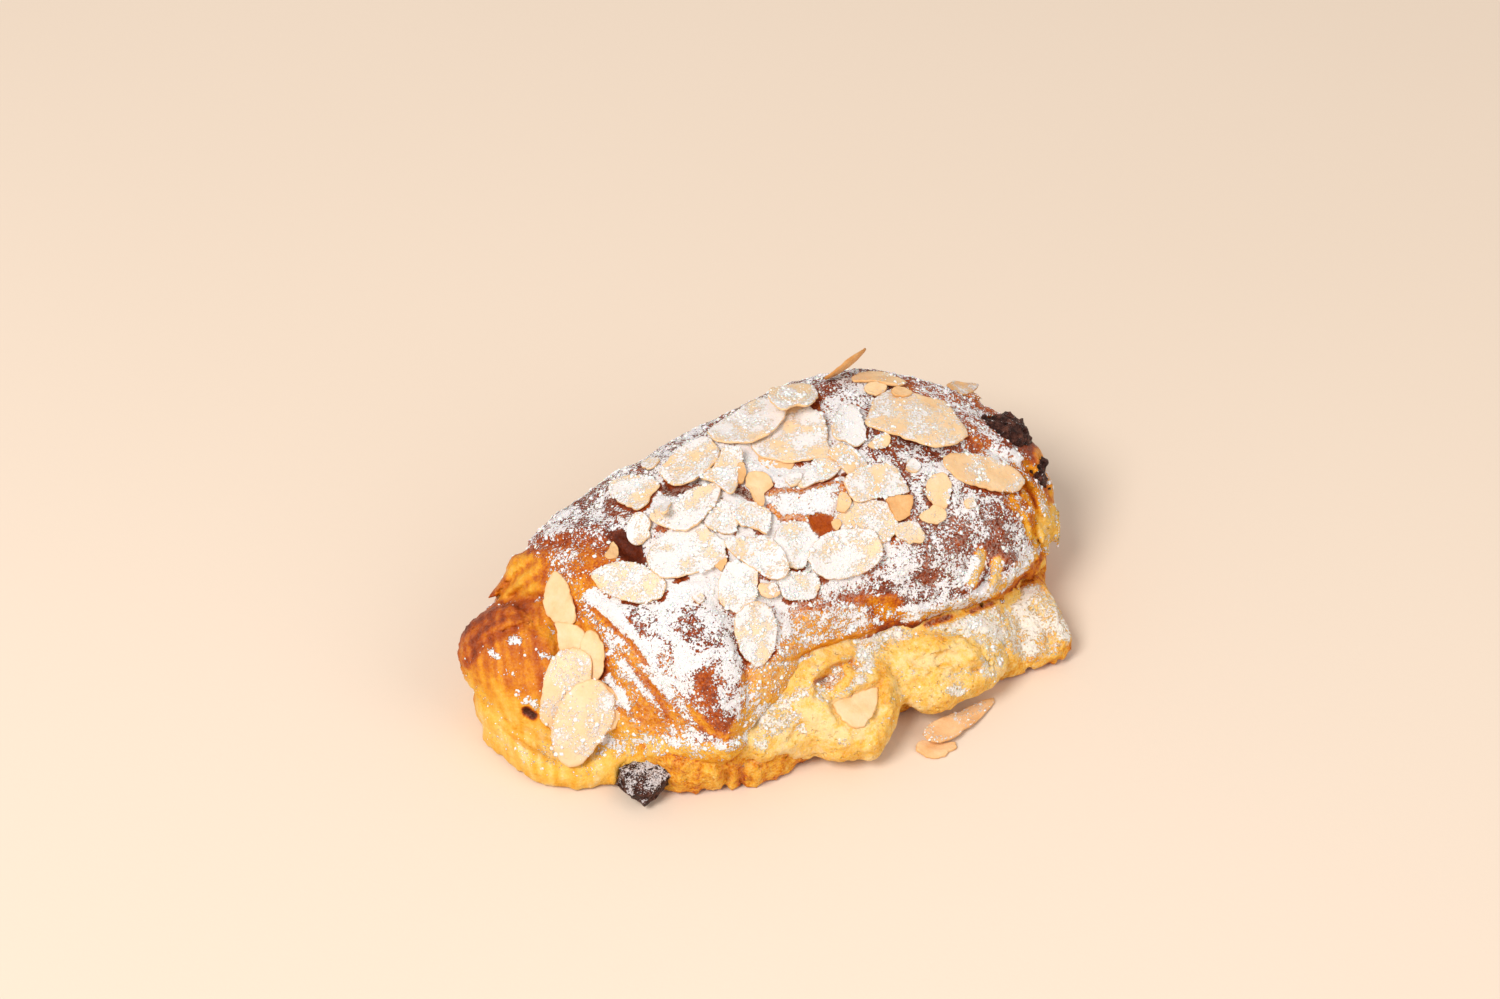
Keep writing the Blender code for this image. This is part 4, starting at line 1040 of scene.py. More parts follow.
def settle(node, edge, placed):
    """Turns the plate a little and lets it down, so that it lies on the dough or on the flakes that fell before it."""
    pl = PLATES[node]
    edge = np.array(edge, float)
    middle = edge.mean(0)
    places = np.concatenate([middle + (edge - middle) * k for k in (0.25, 0.55, 0.8, 0.97)])
    ways = ways_of(places)
    t, u, v = pl.meet(ways)
    ground = ground_along(ways)
    for other in placed:
        at, ou, ov = other.meet(ways)
        under = (other.reach(ou, ov) < 1.0) & (at < ground + 1)
        ground = np.where(under, np.minimum(ground, at - THICK / 2 / abs(ways @ other.normal)), ground)
    steep = ways @ pl.normal
    down = (ground - t) * steep
    use = np.isfinite(down) & (abs(down) < 9)
    if use.sum() < 12:
        return
    m = np.stack([np.ones_like(u), u, v], 1)
    fit = np.linalg.lstsq(m[use], down[use], rcond=None)[0]
    rest = np.quantile(down[use] - m[use] @ fit, 0.88) + THICK / 2
    fit[0] += rest
    shift = m @ fit
    share = 0.85 * min(1.0, 4.5 / max(abs(shift[use]).max(), 1e-6))
    pl.bend = pl.bend + np.array([fit[0], fit[1], fit[2], 0, 0, 0]) * share


placed = []
for number, (node, (sugar, tone, *edge)) in enumerate(FLAKES.items()):
    if node == "flake_25":  # on the ridge, seen along its face: it keeps its place
        PLATES[node].bend[3:] = 0
    else:
        settle(node, edge, placed)
    PLATES[node].trace(edge, number * 1.3, EDGE_POINTS)
    placed.append(PLATES[node])


def reached_under(node, edge):
    """The outline taken on beneath the flakes that fell later, where it stops at their edges."""
    edge = np.array(edge, float)
    if node == "flake_25":  # on the ridge, seen along its face
        return edge
    names = list(FLAKES)
    for later in names[names.index(node) + 1 :]:
        cover = np.array(FLAKES[later][2:], float)
        middle = cover.mean(0)
        gap = line_distance(edge, np.concatenate([cover, cover[:1]]))[0]
        for k in np.nonzero(gap < 7.0)[0]:
            way = middle - edge[k]
            far = np.linalg.norm(way)
            moved = edge[k] + way / far * min(gap[k] + 9.0, far * 0.7)
            ways = ways_of([moved])
            here, over = PLATES[node].meet(ways)[0][0], PLATES[later].meet(ways)[0][0]
            if over + 0.3 < here < over + 7 and ground_along(ways)[0] - here < 3.5:
                edge[k] = moved
    return edge


REACHED = {node: reached_under(node, edge) for node, (_sugar, _tone, *edge) in FLAKES.items()}
for number, node in enumerate(FLAKES):
    PLATES[node].trace(REACHED[node], number * 1.3, EDGE_POINTS)
for number, (node, (sugar, tone, turn, length, width, kind)) in enumerate(LOOSE_FLAKES.items()):
    PLATES[node] = plate_of(node, turn)
    PLATES[node].set_outline(*outline(kind, length, width, 50 + number * 1.3, EDGE_POINTS), length, width)
# the two that lie on the floor by the cream, by their edges in the view
for node, number, edge in (
    ("flake_38", 51.3, [(922, 735), (925, 728), (933, 722), (948, 716), (966, 709), (982, 701), (994, 697), (995, 703), (987, 712), (976, 722), (965, 731), (954, 738), (941, 743), (930, 742)]),
    ("flake_37", 52.6, [(916, 745), (921, 740), (931, 743), (946, 744), (956, 742), (958, 748), (950, 752), (944, 757), (934, 759), (924, 756), (917, 752)]),
):
    pl = PLATES[node]
    pl.bend = np.zeros(6)
    for _ in range(3):
        pl.trace(edge, number, EDGE_POINTS)
        low = pl.points(pl.ou, pl.ov, np.full(len(pl.ou), -THICK / 2))[:, 2].min()
        pl.middle = pl.middle + np.array([0, 0, 0.12 - low])
        pl.bend = np.zeros(6)
    pl.trace(edge, number, EDGE_POINTS)


def seat(points, amount=1.0):
    """The dough under each flake comes up to it and no further, as dough that baked against it."""
    for node, pl in PLATES.items():
        if node in ("flake_36", "flake_37", "flake_38"):
            continue
        i = near(points, pl.middle[None], max(pl.length, pl.width) * 0.62 + 2)
        if not len(i):
            continue
        u, v, w = pl.local(points[i])
        r = pl.reach(u, v)
        under = pl.curve(u, v) - THICK / 2 - 0.08
        over = w - under
        down = np.where((over > 0) & (over < 3.2), over * step(1.40, 1.01, r), 0)
        rise = np.where((over <= 0) & (over > -1.6), over * step(1.02, 0.80, r) * step(-1.6, -0.7, over), 0)
        points[i] -= pl.normal * ((down + rise) * amount)[:, None]
    return points


# ------------------------------------------------------------------ upper crust
# the dark, sugared top of the last turn ends at the right along this edge; paler layers lie beyond it
EDGE = ((985, 478), (1000, 492), (1012, 508), (1024, 530), (1035, 552))
FRONT_EDGE = ((1035, 552), (1017, 578), (1000, 590), (980, 600), (966, 607), (947, 613), (927, 619), (907, 622))
FLAP = ((628, 596), (640, 622), (652, 646), (662, 672), (676, 692), (690, 708), (706, 724), (720, 737), (728, 738), (738, 729), (744, 716), (745, 692), (744, 668), (752, 640), (760, 612), (740, 590), (690, 580))
SCRAP = ((765, 493), (785, 488), (800, 490), (838, 478), (848, 490), (852, 510), (846, 530), (835, 545), (822, 541), (806, 530), (800, 518), (780, 520), (768, 508))
SPOT = ((808, 515), (822, 512), (834, 520), (837, 534), (824, 541), (812, 531))
RIGHT_LAYERS = EDGE + ((1050, 562), (1072, 540), (1072, 500), (1052, 468), (1024, 462), (1000, 468))
# the chocolate's ends at the right, melted and set again in lumps
CHOCOLATE_BLOB = (np.array([63.9, 4.4, 34.9]) + SHIFT - right * 1.9 - up * 0.6, (7.2, 5.4, 3.9), (-6.0, -14.0))
CHOCOLATE_BIT = (np.array([66.4, -3.0, 29.0]) + SHIFT, (2.6, 2.4, 2.2), (0.0, 0.0))

TOP_PLATES = [
    (0.8, 0.6, ((664, 620), (684, 680)), *FLAP),
    # layers over one another left of the flap, each torn along its lower edge
    (0.4, 0.2, None, (588, 590), (600, 598), (612, 616), (628, 636), (640, 656), (650, 680), (664, 700), (676, 716), (690, 730), (676, 700), (660, 668), (646, 640), (630, 610), (606, 586)),
    (0.5, 0.2, None, (604, 650), (620, 662), (638, 678), (652, 692), (666, 712), (660, 722), (640, 700), (622, 684), (606, 668)),
    (-0.5, 0.25, None, (630, 700), (646, 704), (660, 716), (664, 730), (648, 730), (634, 720)),
    # the scrap of caramelised crust, with a sunk glossy spot in it
    (0.8, 0.25, None, *SCRAP),
    (-1.3, 0.4, None, *SPOT),
    # thin layers on the front: the edge of the one above shows as a line
    (0.75, 0.2, None, (770, 640), (800, 640), (850, 634), (876, 628), (874, 633), (850, 639), (833, 644), (810, 652), (790, 660), (764, 664)),
    (0.6, 0.25, None, (748, 668), (770, 664), (796, 664), (801, 680), (800, 698), (782, 703), (764, 706), (750, 700)),
    (-0.6, 0.4, None, (864, 600), (898, 600), (902, 612), (910, 619), (896, 630), (880, 628), (870, 614)),
    # the paler layers beyond the crust's edge at the right
    (-1.2, 0.3, None, *RIGHT_LAYERS),
    (0.8, 0.25, None, (1014, 492), (1030, 492), (1044, 500), (1048, 514), (1042, 524), (1034, 534), (1026, 522), (1018, 506)),
    (0.7, 0.25, None, (1024, 478), (1040, 478), (1050, 490), (1040, 494), (1026, 490)),
    (0.9, 0.25, None, (1040, 506), (1058, 504), (1068, 520), (1066, 550), (1050, 560), (1040, 545), (1036, 525)),
    # a dark flake of crust curled up on the back right
    (0.8, 0.25, None, (946, 384), (960, 380), (980, 386), (984, 398), (966, 400), (950, 395)),
    # the ear: one layer folded over the end
    (0.9, 0.35, None, (452, 648), (462, 628), (478, 614), (500, 606), (528, 602), (548, 606), (552, 618), (530, 622), (508, 628), (490, 640), (478, 664), (466, 668)),
]
TOP_MARKS = [
    # creases from the left shoulder down to the flap (amount, radius, places in the view)
    (-0.7, 0.5, (594, 609), (609, 623), (620, 634), (634, 647), (646, 664)),
    (-0.9, 0.6, (598, 646), (610, 651), (623, 657), (637, 674), (653, 689), (664, 709), (671, 723)),
    (0.7, 1.0, (600, 600), (622, 622), (642, 648), (664, 684)),
    (0.6, 0.9, (611, 663), (627, 674), (644, 691), (659, 706)),
    (-0.8, 0.7, (606, 668), (620, 684), (632, 704), (640, 722)),
    (-0.7, 0.8, (640, 640), (660, 662), (682, 686)),
    (0.6, 1.6, (690, 680), (712, 706), (724, 726)),
    # the lip under the flap, over the base
    (2.3, 1.9, (628, 762), (650, 754), (676, 749), (704, 749), (736, 748), (768, 744)),
    (0.8, 0.9, (648, 762), (664, 755), (682, 757), (700, 760), (718, 757), (740, 762)),
    (-0.9, 0.8, (746, 664), (748, 684), (746, 704)),
    # front below the middle
    (-1.0, 0.6, (800, 656), (812, 652), (833, 645), (850, 639), (872, 632)),
    (-2.0, 1.1, (925, 622), (938, 617), (956, 612)),
    (-1.9, 0.9, (940, 620), (960, 614), (980, 607), (1004, 597), (1024, 580)),
    (0.8, 1.1, (930, 612), (960, 602), (992, 590), (1016, 572)),
    (1.3, 1.1, (956, 612), (962, 617)),
    (1.4, 1.2, (996, 596), (1001, 602)),
    (1.2, 1.0, (1030, 566), (1035, 572)),
    (1.1, 0.9, (912, 620), (916, 625)),
    (-1.2, 0.7, (872, 634), (890, 631), (908, 625)),
    (0.7, 1.2, (906, 613), (924, 610), (940, 606)),
    # two thick fingers of dough at the right
    (1.3, 1.3, (981, 552), (979, 566), (973, 582)),
    (1.4, 1.4, (998, 562), (996, 576), (990, 590)),
    (-1.3, 0.8, (989, 556), (987, 572), (981, 588)),
    (-1.0, 0.8, (970, 552), (967, 566), (962, 580)),
    (0.9, 1.0, (1010, 566), (1008, 578)),
    # a small dark hollow beside the almonds
    (-1.5, 0.9, (526, 711), (533, 715)),
    # the folded ear and the layers behind it
    (-1.6, 1.0, (476, 616), (492, 602), (516, 596), (540, 598), (556, 606)),
    (-1.1, 0.8, (466, 664), (476, 650), (492, 636), (514, 628)),
    (0.9, 0.8, (480, 607), (496, 590), (510, 572), (524, 560)),
    (-0.9, 0.6, (486, 610), (502, 592), (516, 576), (532, 564)),
    (0.8, 0.8, (492, 610), (510, 592), (524, 578), (540, 568)),
    (-0.8, 0.6, (500, 608), (518, 592), (532, 580), (548, 572)),
    (0.6, 0.9, (508, 606), (528, 592), (548, 582)),
    (1.6, 1.0, (508, 566), (513, 558), (522, 556)),
    (-1.8, 1.2, (548, 598), (556, 618), (560, 650), (554, 690), (548, 716)),
    # puffed left shoulder and the edge of the last turn
    (1.2, 4.2, (552, 566), (588, 574)),
    (-1.0, 1.1, (520, 552), (540, 545), (566, 542), (592, 544), (608, 550)),
    (0.7, 1.5, (530, 540), (552, 533), (578, 530), (604, 528)),
    (-2.2, 2.2, (616, 542), (628, 552), (638, 560)),
    # dents and lumps of the crust between the flakes
    (-1.3, 1.2, (665, 490), (684, 493), (703, 490)),
    (-1.3, 1.0, (738, 490), (750, 496)),
    (-1.1, 1.1, (672, 574), (694, 578), (716, 574)),
    (-1.0, 1.4, (820, 470), (836, 474)),
    (1.0, 2.5, (930, 480), (948, 500)),
    (-1.0, 1.5, (905, 440), (930, 450), (952, 452)),
    (0.9, 2.2, (890, 400), (925, 400)),
    (-0.9, 1.3, (870, 392), (905, 386), (940, 392)),
    (0.9, 2.6, (960, 424), (976, 436)),
    (-1.1, 1.2, (960, 452), (985, 448), (1010, 458)),
    (0.8, 3.0, (640, 600), (660, 630)),
    (-0.8, 1.6, (770, 600), (790, 616), (800, 632)),
    (0.8, 2.6, (930, 560), (960, 540)),
    (-0.8, 1.4, (905, 576), (925, 584), (950, 580)),
    (-1.0, 1.0, (1026, 484), (1040, 496), (1048, 514)),
    (-1.2, 0.9, (1036, 510), (1036, 530), (1044, 552)),
    (-1.3, 0.7, (1016, 476), (1030, 492), (1038, 510), (1042, 528)),
    (1.0, 0.8, (1022, 472), (1036, 488), (1045, 506), (1048, 524)),
    (-1.3, 0.7, (1028, 470), (1044, 484), (1052, 500), (1056, 520)),
    (0.9, 0.8, (1034, 468), (1050, 480), (1060, 496), (1064, 512)),
    (-1.1, 0.6, (1046, 520), (1050, 536), (1052, 550)),
    (0.8, 0.7, (1058, 524), (1060, 540), (1056, 552)),
    (-1.0, 0.7, (986, 448), (1006, 458), (1020, 462)),
    (0.8, 0.9, (990, 410), (1010, 428), (1024, 444)),
    (-0.9, 0.7, (978, 402), (996, 414), (1012, 428)),
    (0.8, 1.1, (1062, 512), (1066, 530), (1062, 548)),
]


def crust_field(p):
    f = sample(TOP_FIELD, p)
    x, y, z = (p - SHIFT).T
    left, right_ = step(-44, -56, x), step(56, 66, x)
    f = f - 0.50 * noise(p, 13.0, 1) - 0.30 * noise(p, 5.5, 2)
    f = f - (0.34 + 0.25 * left + 0.3 * right_) * shingles(p, np.array([13.0, 7.5, 7.5]), 3)
    # long streaks where the dough was pulled round the left end
    streak = noise(p @ np.array([[0.94, -0.34, 0.0], [0.2, 0.55, 0.81], [-0.28, -0.76, 0.59]]).T, (1.5, 12.0, 4.0), 71)
    f = f - left * 0.22 * streak
    f = f - left * step(17, 6, z) * (0.50 * noise(p, 2.6, 74) + 0.40 * noise(p, 1.5, 75))
    # the end of the roll runs down into its foot with no seam
    foot = step(-46.5, -53, x)
    base = sample(BASE_FIELD, p) - 0.3 - 0.5 * noise(p, 7.0, 21)
    base = base - step(9, 2, z) * (0.75 * noise(p * [1, 1, 0.35], 4.2, 23) + 0.40 * noise(p * [1, 1, 0.35], 2.0, 24))
    f = f + (smin(f, base, 4.0) - f) * foot
    view = at_view(p)
    f = plate(f, p, view, TOP_PLATES)
    f = push(f, view, TOP_MARKS)
    # the torn edge at the right front, in ragged little tongues
    for line, reach in (((925, 612), (947, 606), (967, 600), (984, 592), (1004, 582), (1020, 566), (1034, 548)), 9.0), (((1000, 478), (1014, 492), (1028, 512), (1040, 536), (1048, 556)), 8.0):
        uv, mm, seen = view
        line = np.array(line, float)
        i = near(uv, line, reach / 0.22)
        if len(i):
            w = step(reach * 0.62, reach * 0.25, line_distance(uv[i], line)[0] * mm[i]) * seen[i]
            f[i] -= w * (0.62 * noise(p[i], 2.9, 77) + 0.42 * noise(p[i], 1.5, 78))
    # room for the ends of the chocolate
    for centre, radii, turn in (CHOCOLATE_BLOB, CHOCOLATE_BIT):
        i = near(p, centre[None], max(radii) + 2.5)
        if len(i):
            f[i] = smax(f[i], -(blob(p[i], centre, radii, turn) - 0.2), 0.6)
    return smax(f, 0.45 - z, 0.5)


def finish_points(points, quads, amount, seed):
    """Fine unevenness along the normals."""
    n = normals_of(points, quads)
    d = amount * (0.45 * noise(points, 2.6, seed) + 0.35 * noise(points, 1.3, seed + 1) + 0.30 * noise(points, 0.8, seed + 2))
    points = points + n * d[:, None]
    return points, normals_of(points, quads)


CELL = 0.62
points, quads = surface(crust_field, (-77, -36, -1.0), (75.5, 50, 53), CELL)
points, normal = finish_points(points, quads, 0.26, 40)
points = seat(points)
normal = normals_of(points, quads)
TOP_BAKE_AND_PAINTED_LIGHT = [
    # the whole of what is seen, then its parts
    ("area", 0.78, 1, 2, (440, 330), (1120, 330), (1120, 840), (440, 840)),
    ("area", 0.60, 1, 3, (640, 480), (700, 440), (800, 400), (860, 410), (870, 480), (920, 520), (900, 560), (840, 590), (760, 640), (700, 600), (650, 570)),
    ("area", 0.80, 1, 3, (520, 540), (600, 510), (660, 470), (720, 440), (780, 400), (760, 370), (620, 430), (520, 500)),
    # left end: shoulder, pale strips, ear, orange fall and custard foot
    ("area", 0.54, 1, 3.5, (506, 560), (540, 536), (600, 534), (636, 550), (630, 590), (600, 604), (560, 610), (520, 600)),
    ("line", 0.70, 0.8, 1.6, 1.0, (530, 545), (556, 540), (590, 541), (606, 548)),
    ("line", 0.44, 0.9, 2.2, 1.2, (556, 590), (590, 592), (606, 604)),
    # painted shade: near black in the deep recess beside the left shoulder
    ("area", 0.94, 1, 1.2, (606, 530), (628, 532), (644, 546), (646, 562), (630, 566), (618, 556)),
    ("area", 0.30, 1, 1.5, (474, 618), (490, 590), (508, 564), (526, 552), (540, 566), (540, 590), (520, 602), (498, 606)),
    ("line", 0.52, 0.9, 0.6, 0.4, (486, 610), (502, 592), (516, 576), (532, 564)),
    ("line", 0.50, 0.9, 0.6, 0.4, (500, 608), (518, 592), (532, 580), (548, 572)),
    ("line", 0.58, 0.9, 0.8, 0.5, (478, 612), (490, 598), (504, 580)),
    ("area", 0.48, 1, 3, (456, 650), (500, 600), (560, 600), (600, 640), (600, 700), (560, 720), (500, 710), (466, 680)),
    ("line", 0.60, 0.8, 1.6, 1.2, (540, 650), (538, 680), (536, 700)),
    ("area", 0.44, 1, 3, (540, 610), (600, 610), (610, 690), (580, 720), (550, 710)),
    ("area", 0.24, 1, 2.5, (462, 668), (500, 690), (540, 700), (600, 700), (680, 742), (640, 775), (560, 800), (480, 780), (456, 700)),
    ("area", 0.14, 1, 2.5, (456, 690), (490, 716), (540, 736), (600, 745), (640, 762), (600, 800), (520, 800), (470, 760)),
    ("area", 0.50, 0.9, 2.5, (452, 655), (462, 622), (500, 600), (552, 600), (560, 616), (540, 634), (500, 650), (470, 668)),
    ("area", 0.60, 1, 1.8, (452, 650), (460, 626), (482, 608), (520, 602), (542, 606), (530, 620), (500, 628), (484, 640), (472, 656)),
    ("line", 0.78, 0.8, 1.0, 1.0, (462, 632), (480, 616), (506, 606), (530, 605)),
    ("line", 0.74, 0.7, 0.6, 0.5, (470, 644), (486, 628), (506, 618)),
    ("line", 0.72, 0.8, 0.9, 0.6, (466, 664), (478, 650), (494, 637), (516, 628)),
    ("line", 1.0, 1, 1.0, 0.4, (526, 711), (533, 715)),
    # layers left of the flap
    ("area", 0.44, 1, 2, (584, 596), (606, 590), (640, 640), (664, 690), (700, 732), (690, 745), (640, 735), (600, 690), (590, 640)),
    ("line", 0.56, 1, 0.4, 0.3, (594, 609), (609, 623), (620, 634), (634, 647), (646, 664)),
    ("line", 0.54, 1, 0.5, 0.4, (598, 646), (610, 651), (623, 657), (637, 674), (653, 689), (664, 709), (671, 723)),
    ("area", 0.46, 1, 1, (634, 704), (650, 702), (662, 716), (656, 726), (638, 724)),
    # the flap: dark patches, orange rim, yellow lip under it
    ("area", 0.62, 1, 2.5, (646, 636), (680, 646), (712, 660), (738, 690), (738, 722), (722, 735), (706, 720), (684, 700), (662, 674)),
    ("line", 0.72, 0.8, 2.0, 1.6, (700, 672), (712, 694), (722, 716)),
    ("area", 0.54, 1, 1.0, (650, 646), (664, 650), (678, 668), (676, 682), (662, 676)),
    ("line", 0.44, 1, 0.9, 0.5, (660, 676), (676, 695), (694, 714), (712, 732), (726, 739)),
    ("line", 0.44, 1, 0.9, 0.5, (744, 680), (744, 706), (738, 724), (728, 738)),
    ("area", 0.20, 1, 1.0, (600, 745), (640, 738), (676, 736), (704, 742), (728, 743), (760, 736), (800, 730), (800, 775), (700, 775), (600, 790)),
    ("line", 0.36, 0.8, 0.7, 0.5, (648, 764), (664, 757), (682, 760), (700, 763), (718, 760), (740, 765)),
    # front below the middle
    ("area", 0.36, 1, 2, (746, 666), (760, 640), (800, 612), (860, 600), (876, 628), (850, 652), (812, 668), (800, 700), (750, 704)),
    ("area", 0.31, 1, 2.0, (744, 690), (754, 664), (806, 660), (806, 700), (770, 720)),
    ("area", 0.24, 1, 1.5, (742, 712), (760, 700), (806, 696), (806, 724), (770, 744), (740, 752), (728, 744)),
    ("line", 0.40, 1, 0.7, 0.4, (806, 654), (833, 644), (850, 638), (872, 632)),
    ("area", 0.40, 1, 2.0, (866, 598), (896, 599), (902, 608), (906, 616), (890, 624), (876, 614)),
    ("line", 0.50, 1, 0.8, 0.5, (868, 599), (898, 600)),
    # the crust's pale torn edge and the dough fingers
    ("line", 0.22, 0.9, 1.3, 0.7, (908, 617), (927, 613), (947, 607), (967, 602), (984, 596), (1004, 584), (1020, 568), (1034, 552)),
    ("line", 0.14, 1, 1.3, 0.6, (981, 554), (979, 566), (973, 582)),
    ("line", 0.14, 1, 1.3, 0.6, (998, 562), (996, 576), (990, 590)),
    # right end
    ("area", 0.33, 1, 1.2, *RIGHT_LAYERS),
    ("area", 0.17, 1, 0.8, (1028, 512), (1040, 520), (1044, 536), (1036, 546), (1026, 530)),
    # the thin layers of the right end: painted shade as dark lines along the grooves between them, painted highlight as
    # pale lines along their raised edges
    ("line", 0.30, 0.9, 0.8, 0.4, (1022, 474), (1034, 488), (1042, 506)),
    ("line", 0.66, 0.9, 0.5, 0.3, (1016, 476), (1030, 492), (1038, 510), (1042, 528)),
    ("line", 0.60, 0.9, 0.5, 0.3, (1026, 470), (1042, 484), (1050, 500), (1054, 520)),
    ("line", 0.28, 0.9, 0.9, 0.4, (1030, 470), (1046, 480), (1056, 496)),
    ("line", 0.64, 0.9, 0.5, 0.3, (1036, 534), (1044, 546), (1050, 556)),
    ("line", 0.62, 0.8, 0.9, 0.6, (1010, 466), (1030, 476), (1046, 488)),
    ("line", 0.56, 0.9, 0.8, 0.5, (1018, 496), (1030, 512), (1036, 530)),
    ("area", 0.13, 1, 1.0, (1038, 506), (1060, 506), (1070, 520), (1066, 555), (1050, 562), (1040, 548), (1036, 525)),
    ("line", 0.30, 1, 0.7, 0.5, (1060, 506), (1066, 520), (1066, 540)),
    ("area", 0.14, 1, 1.0, (1020, 590), (1024, 566), (1038, 548), (1050, 556), (1048, 580), (1036, 600)),
    ("line", 0.66, 0.9, 0.7, 0.4, (1022, 588), (1032, 574), (1042, 556)),
    # painted shadow: dark lines in the gap under the crust's torn front edge, darkest in three short pieces
    ("line", 0.46, 1, 0.8, 0.45, (928, 623), (948, 618), (966, 612), (985, 606), (1004, 597), (1022, 581), (1036, 563)),
    ("line", 0.90, 1, 0.55, 0.3, (926, 624), (938, 620), (950, 616)),
    ("line", 0.84, 1, 0.45, 0.3, (972, 610), (982, 606), (992, 602)),
    ("line", 0.72, 1, 0.5, 0.3, (1010, 592), (1018, 585), (1026, 576)),
    ("area", 0.64, 1, 3, (880, 372), (960, 380), (1000, 404), (1020, 440), (980, 450), (930, 440), (890, 410)),
    ("line", 0.46, 0.8, 1.6, 0.8, (966, 388), (990, 400), (1016, 416)),
    ("line", 0.36, 0.9, 1.4, 0.8, (1040, 452), (1050, 470), (1056, 486)),
    ("area", 0.46, 0.9, 1.5, (976, 440), (1000, 452), (1024, 454), (1024, 466), (1000, 466), (980, 456)),
    # raised scrap: orange rim, dark red glossy spot
    ("area", 0.50, 1, 0.6, *SCRAP),
    ("area", 0.66, 1, 0.8, *SPOT),
    # painted shadow: near black in two dents between the flakes, under their edges
    ("line", 0.95, 0.8, 1.0, 0.8, (665, 490), (684, 493), (703, 490)),
    ("line", 0.95, 0.8, 0.9, 0.7, (738, 490), (750, 496)),
]
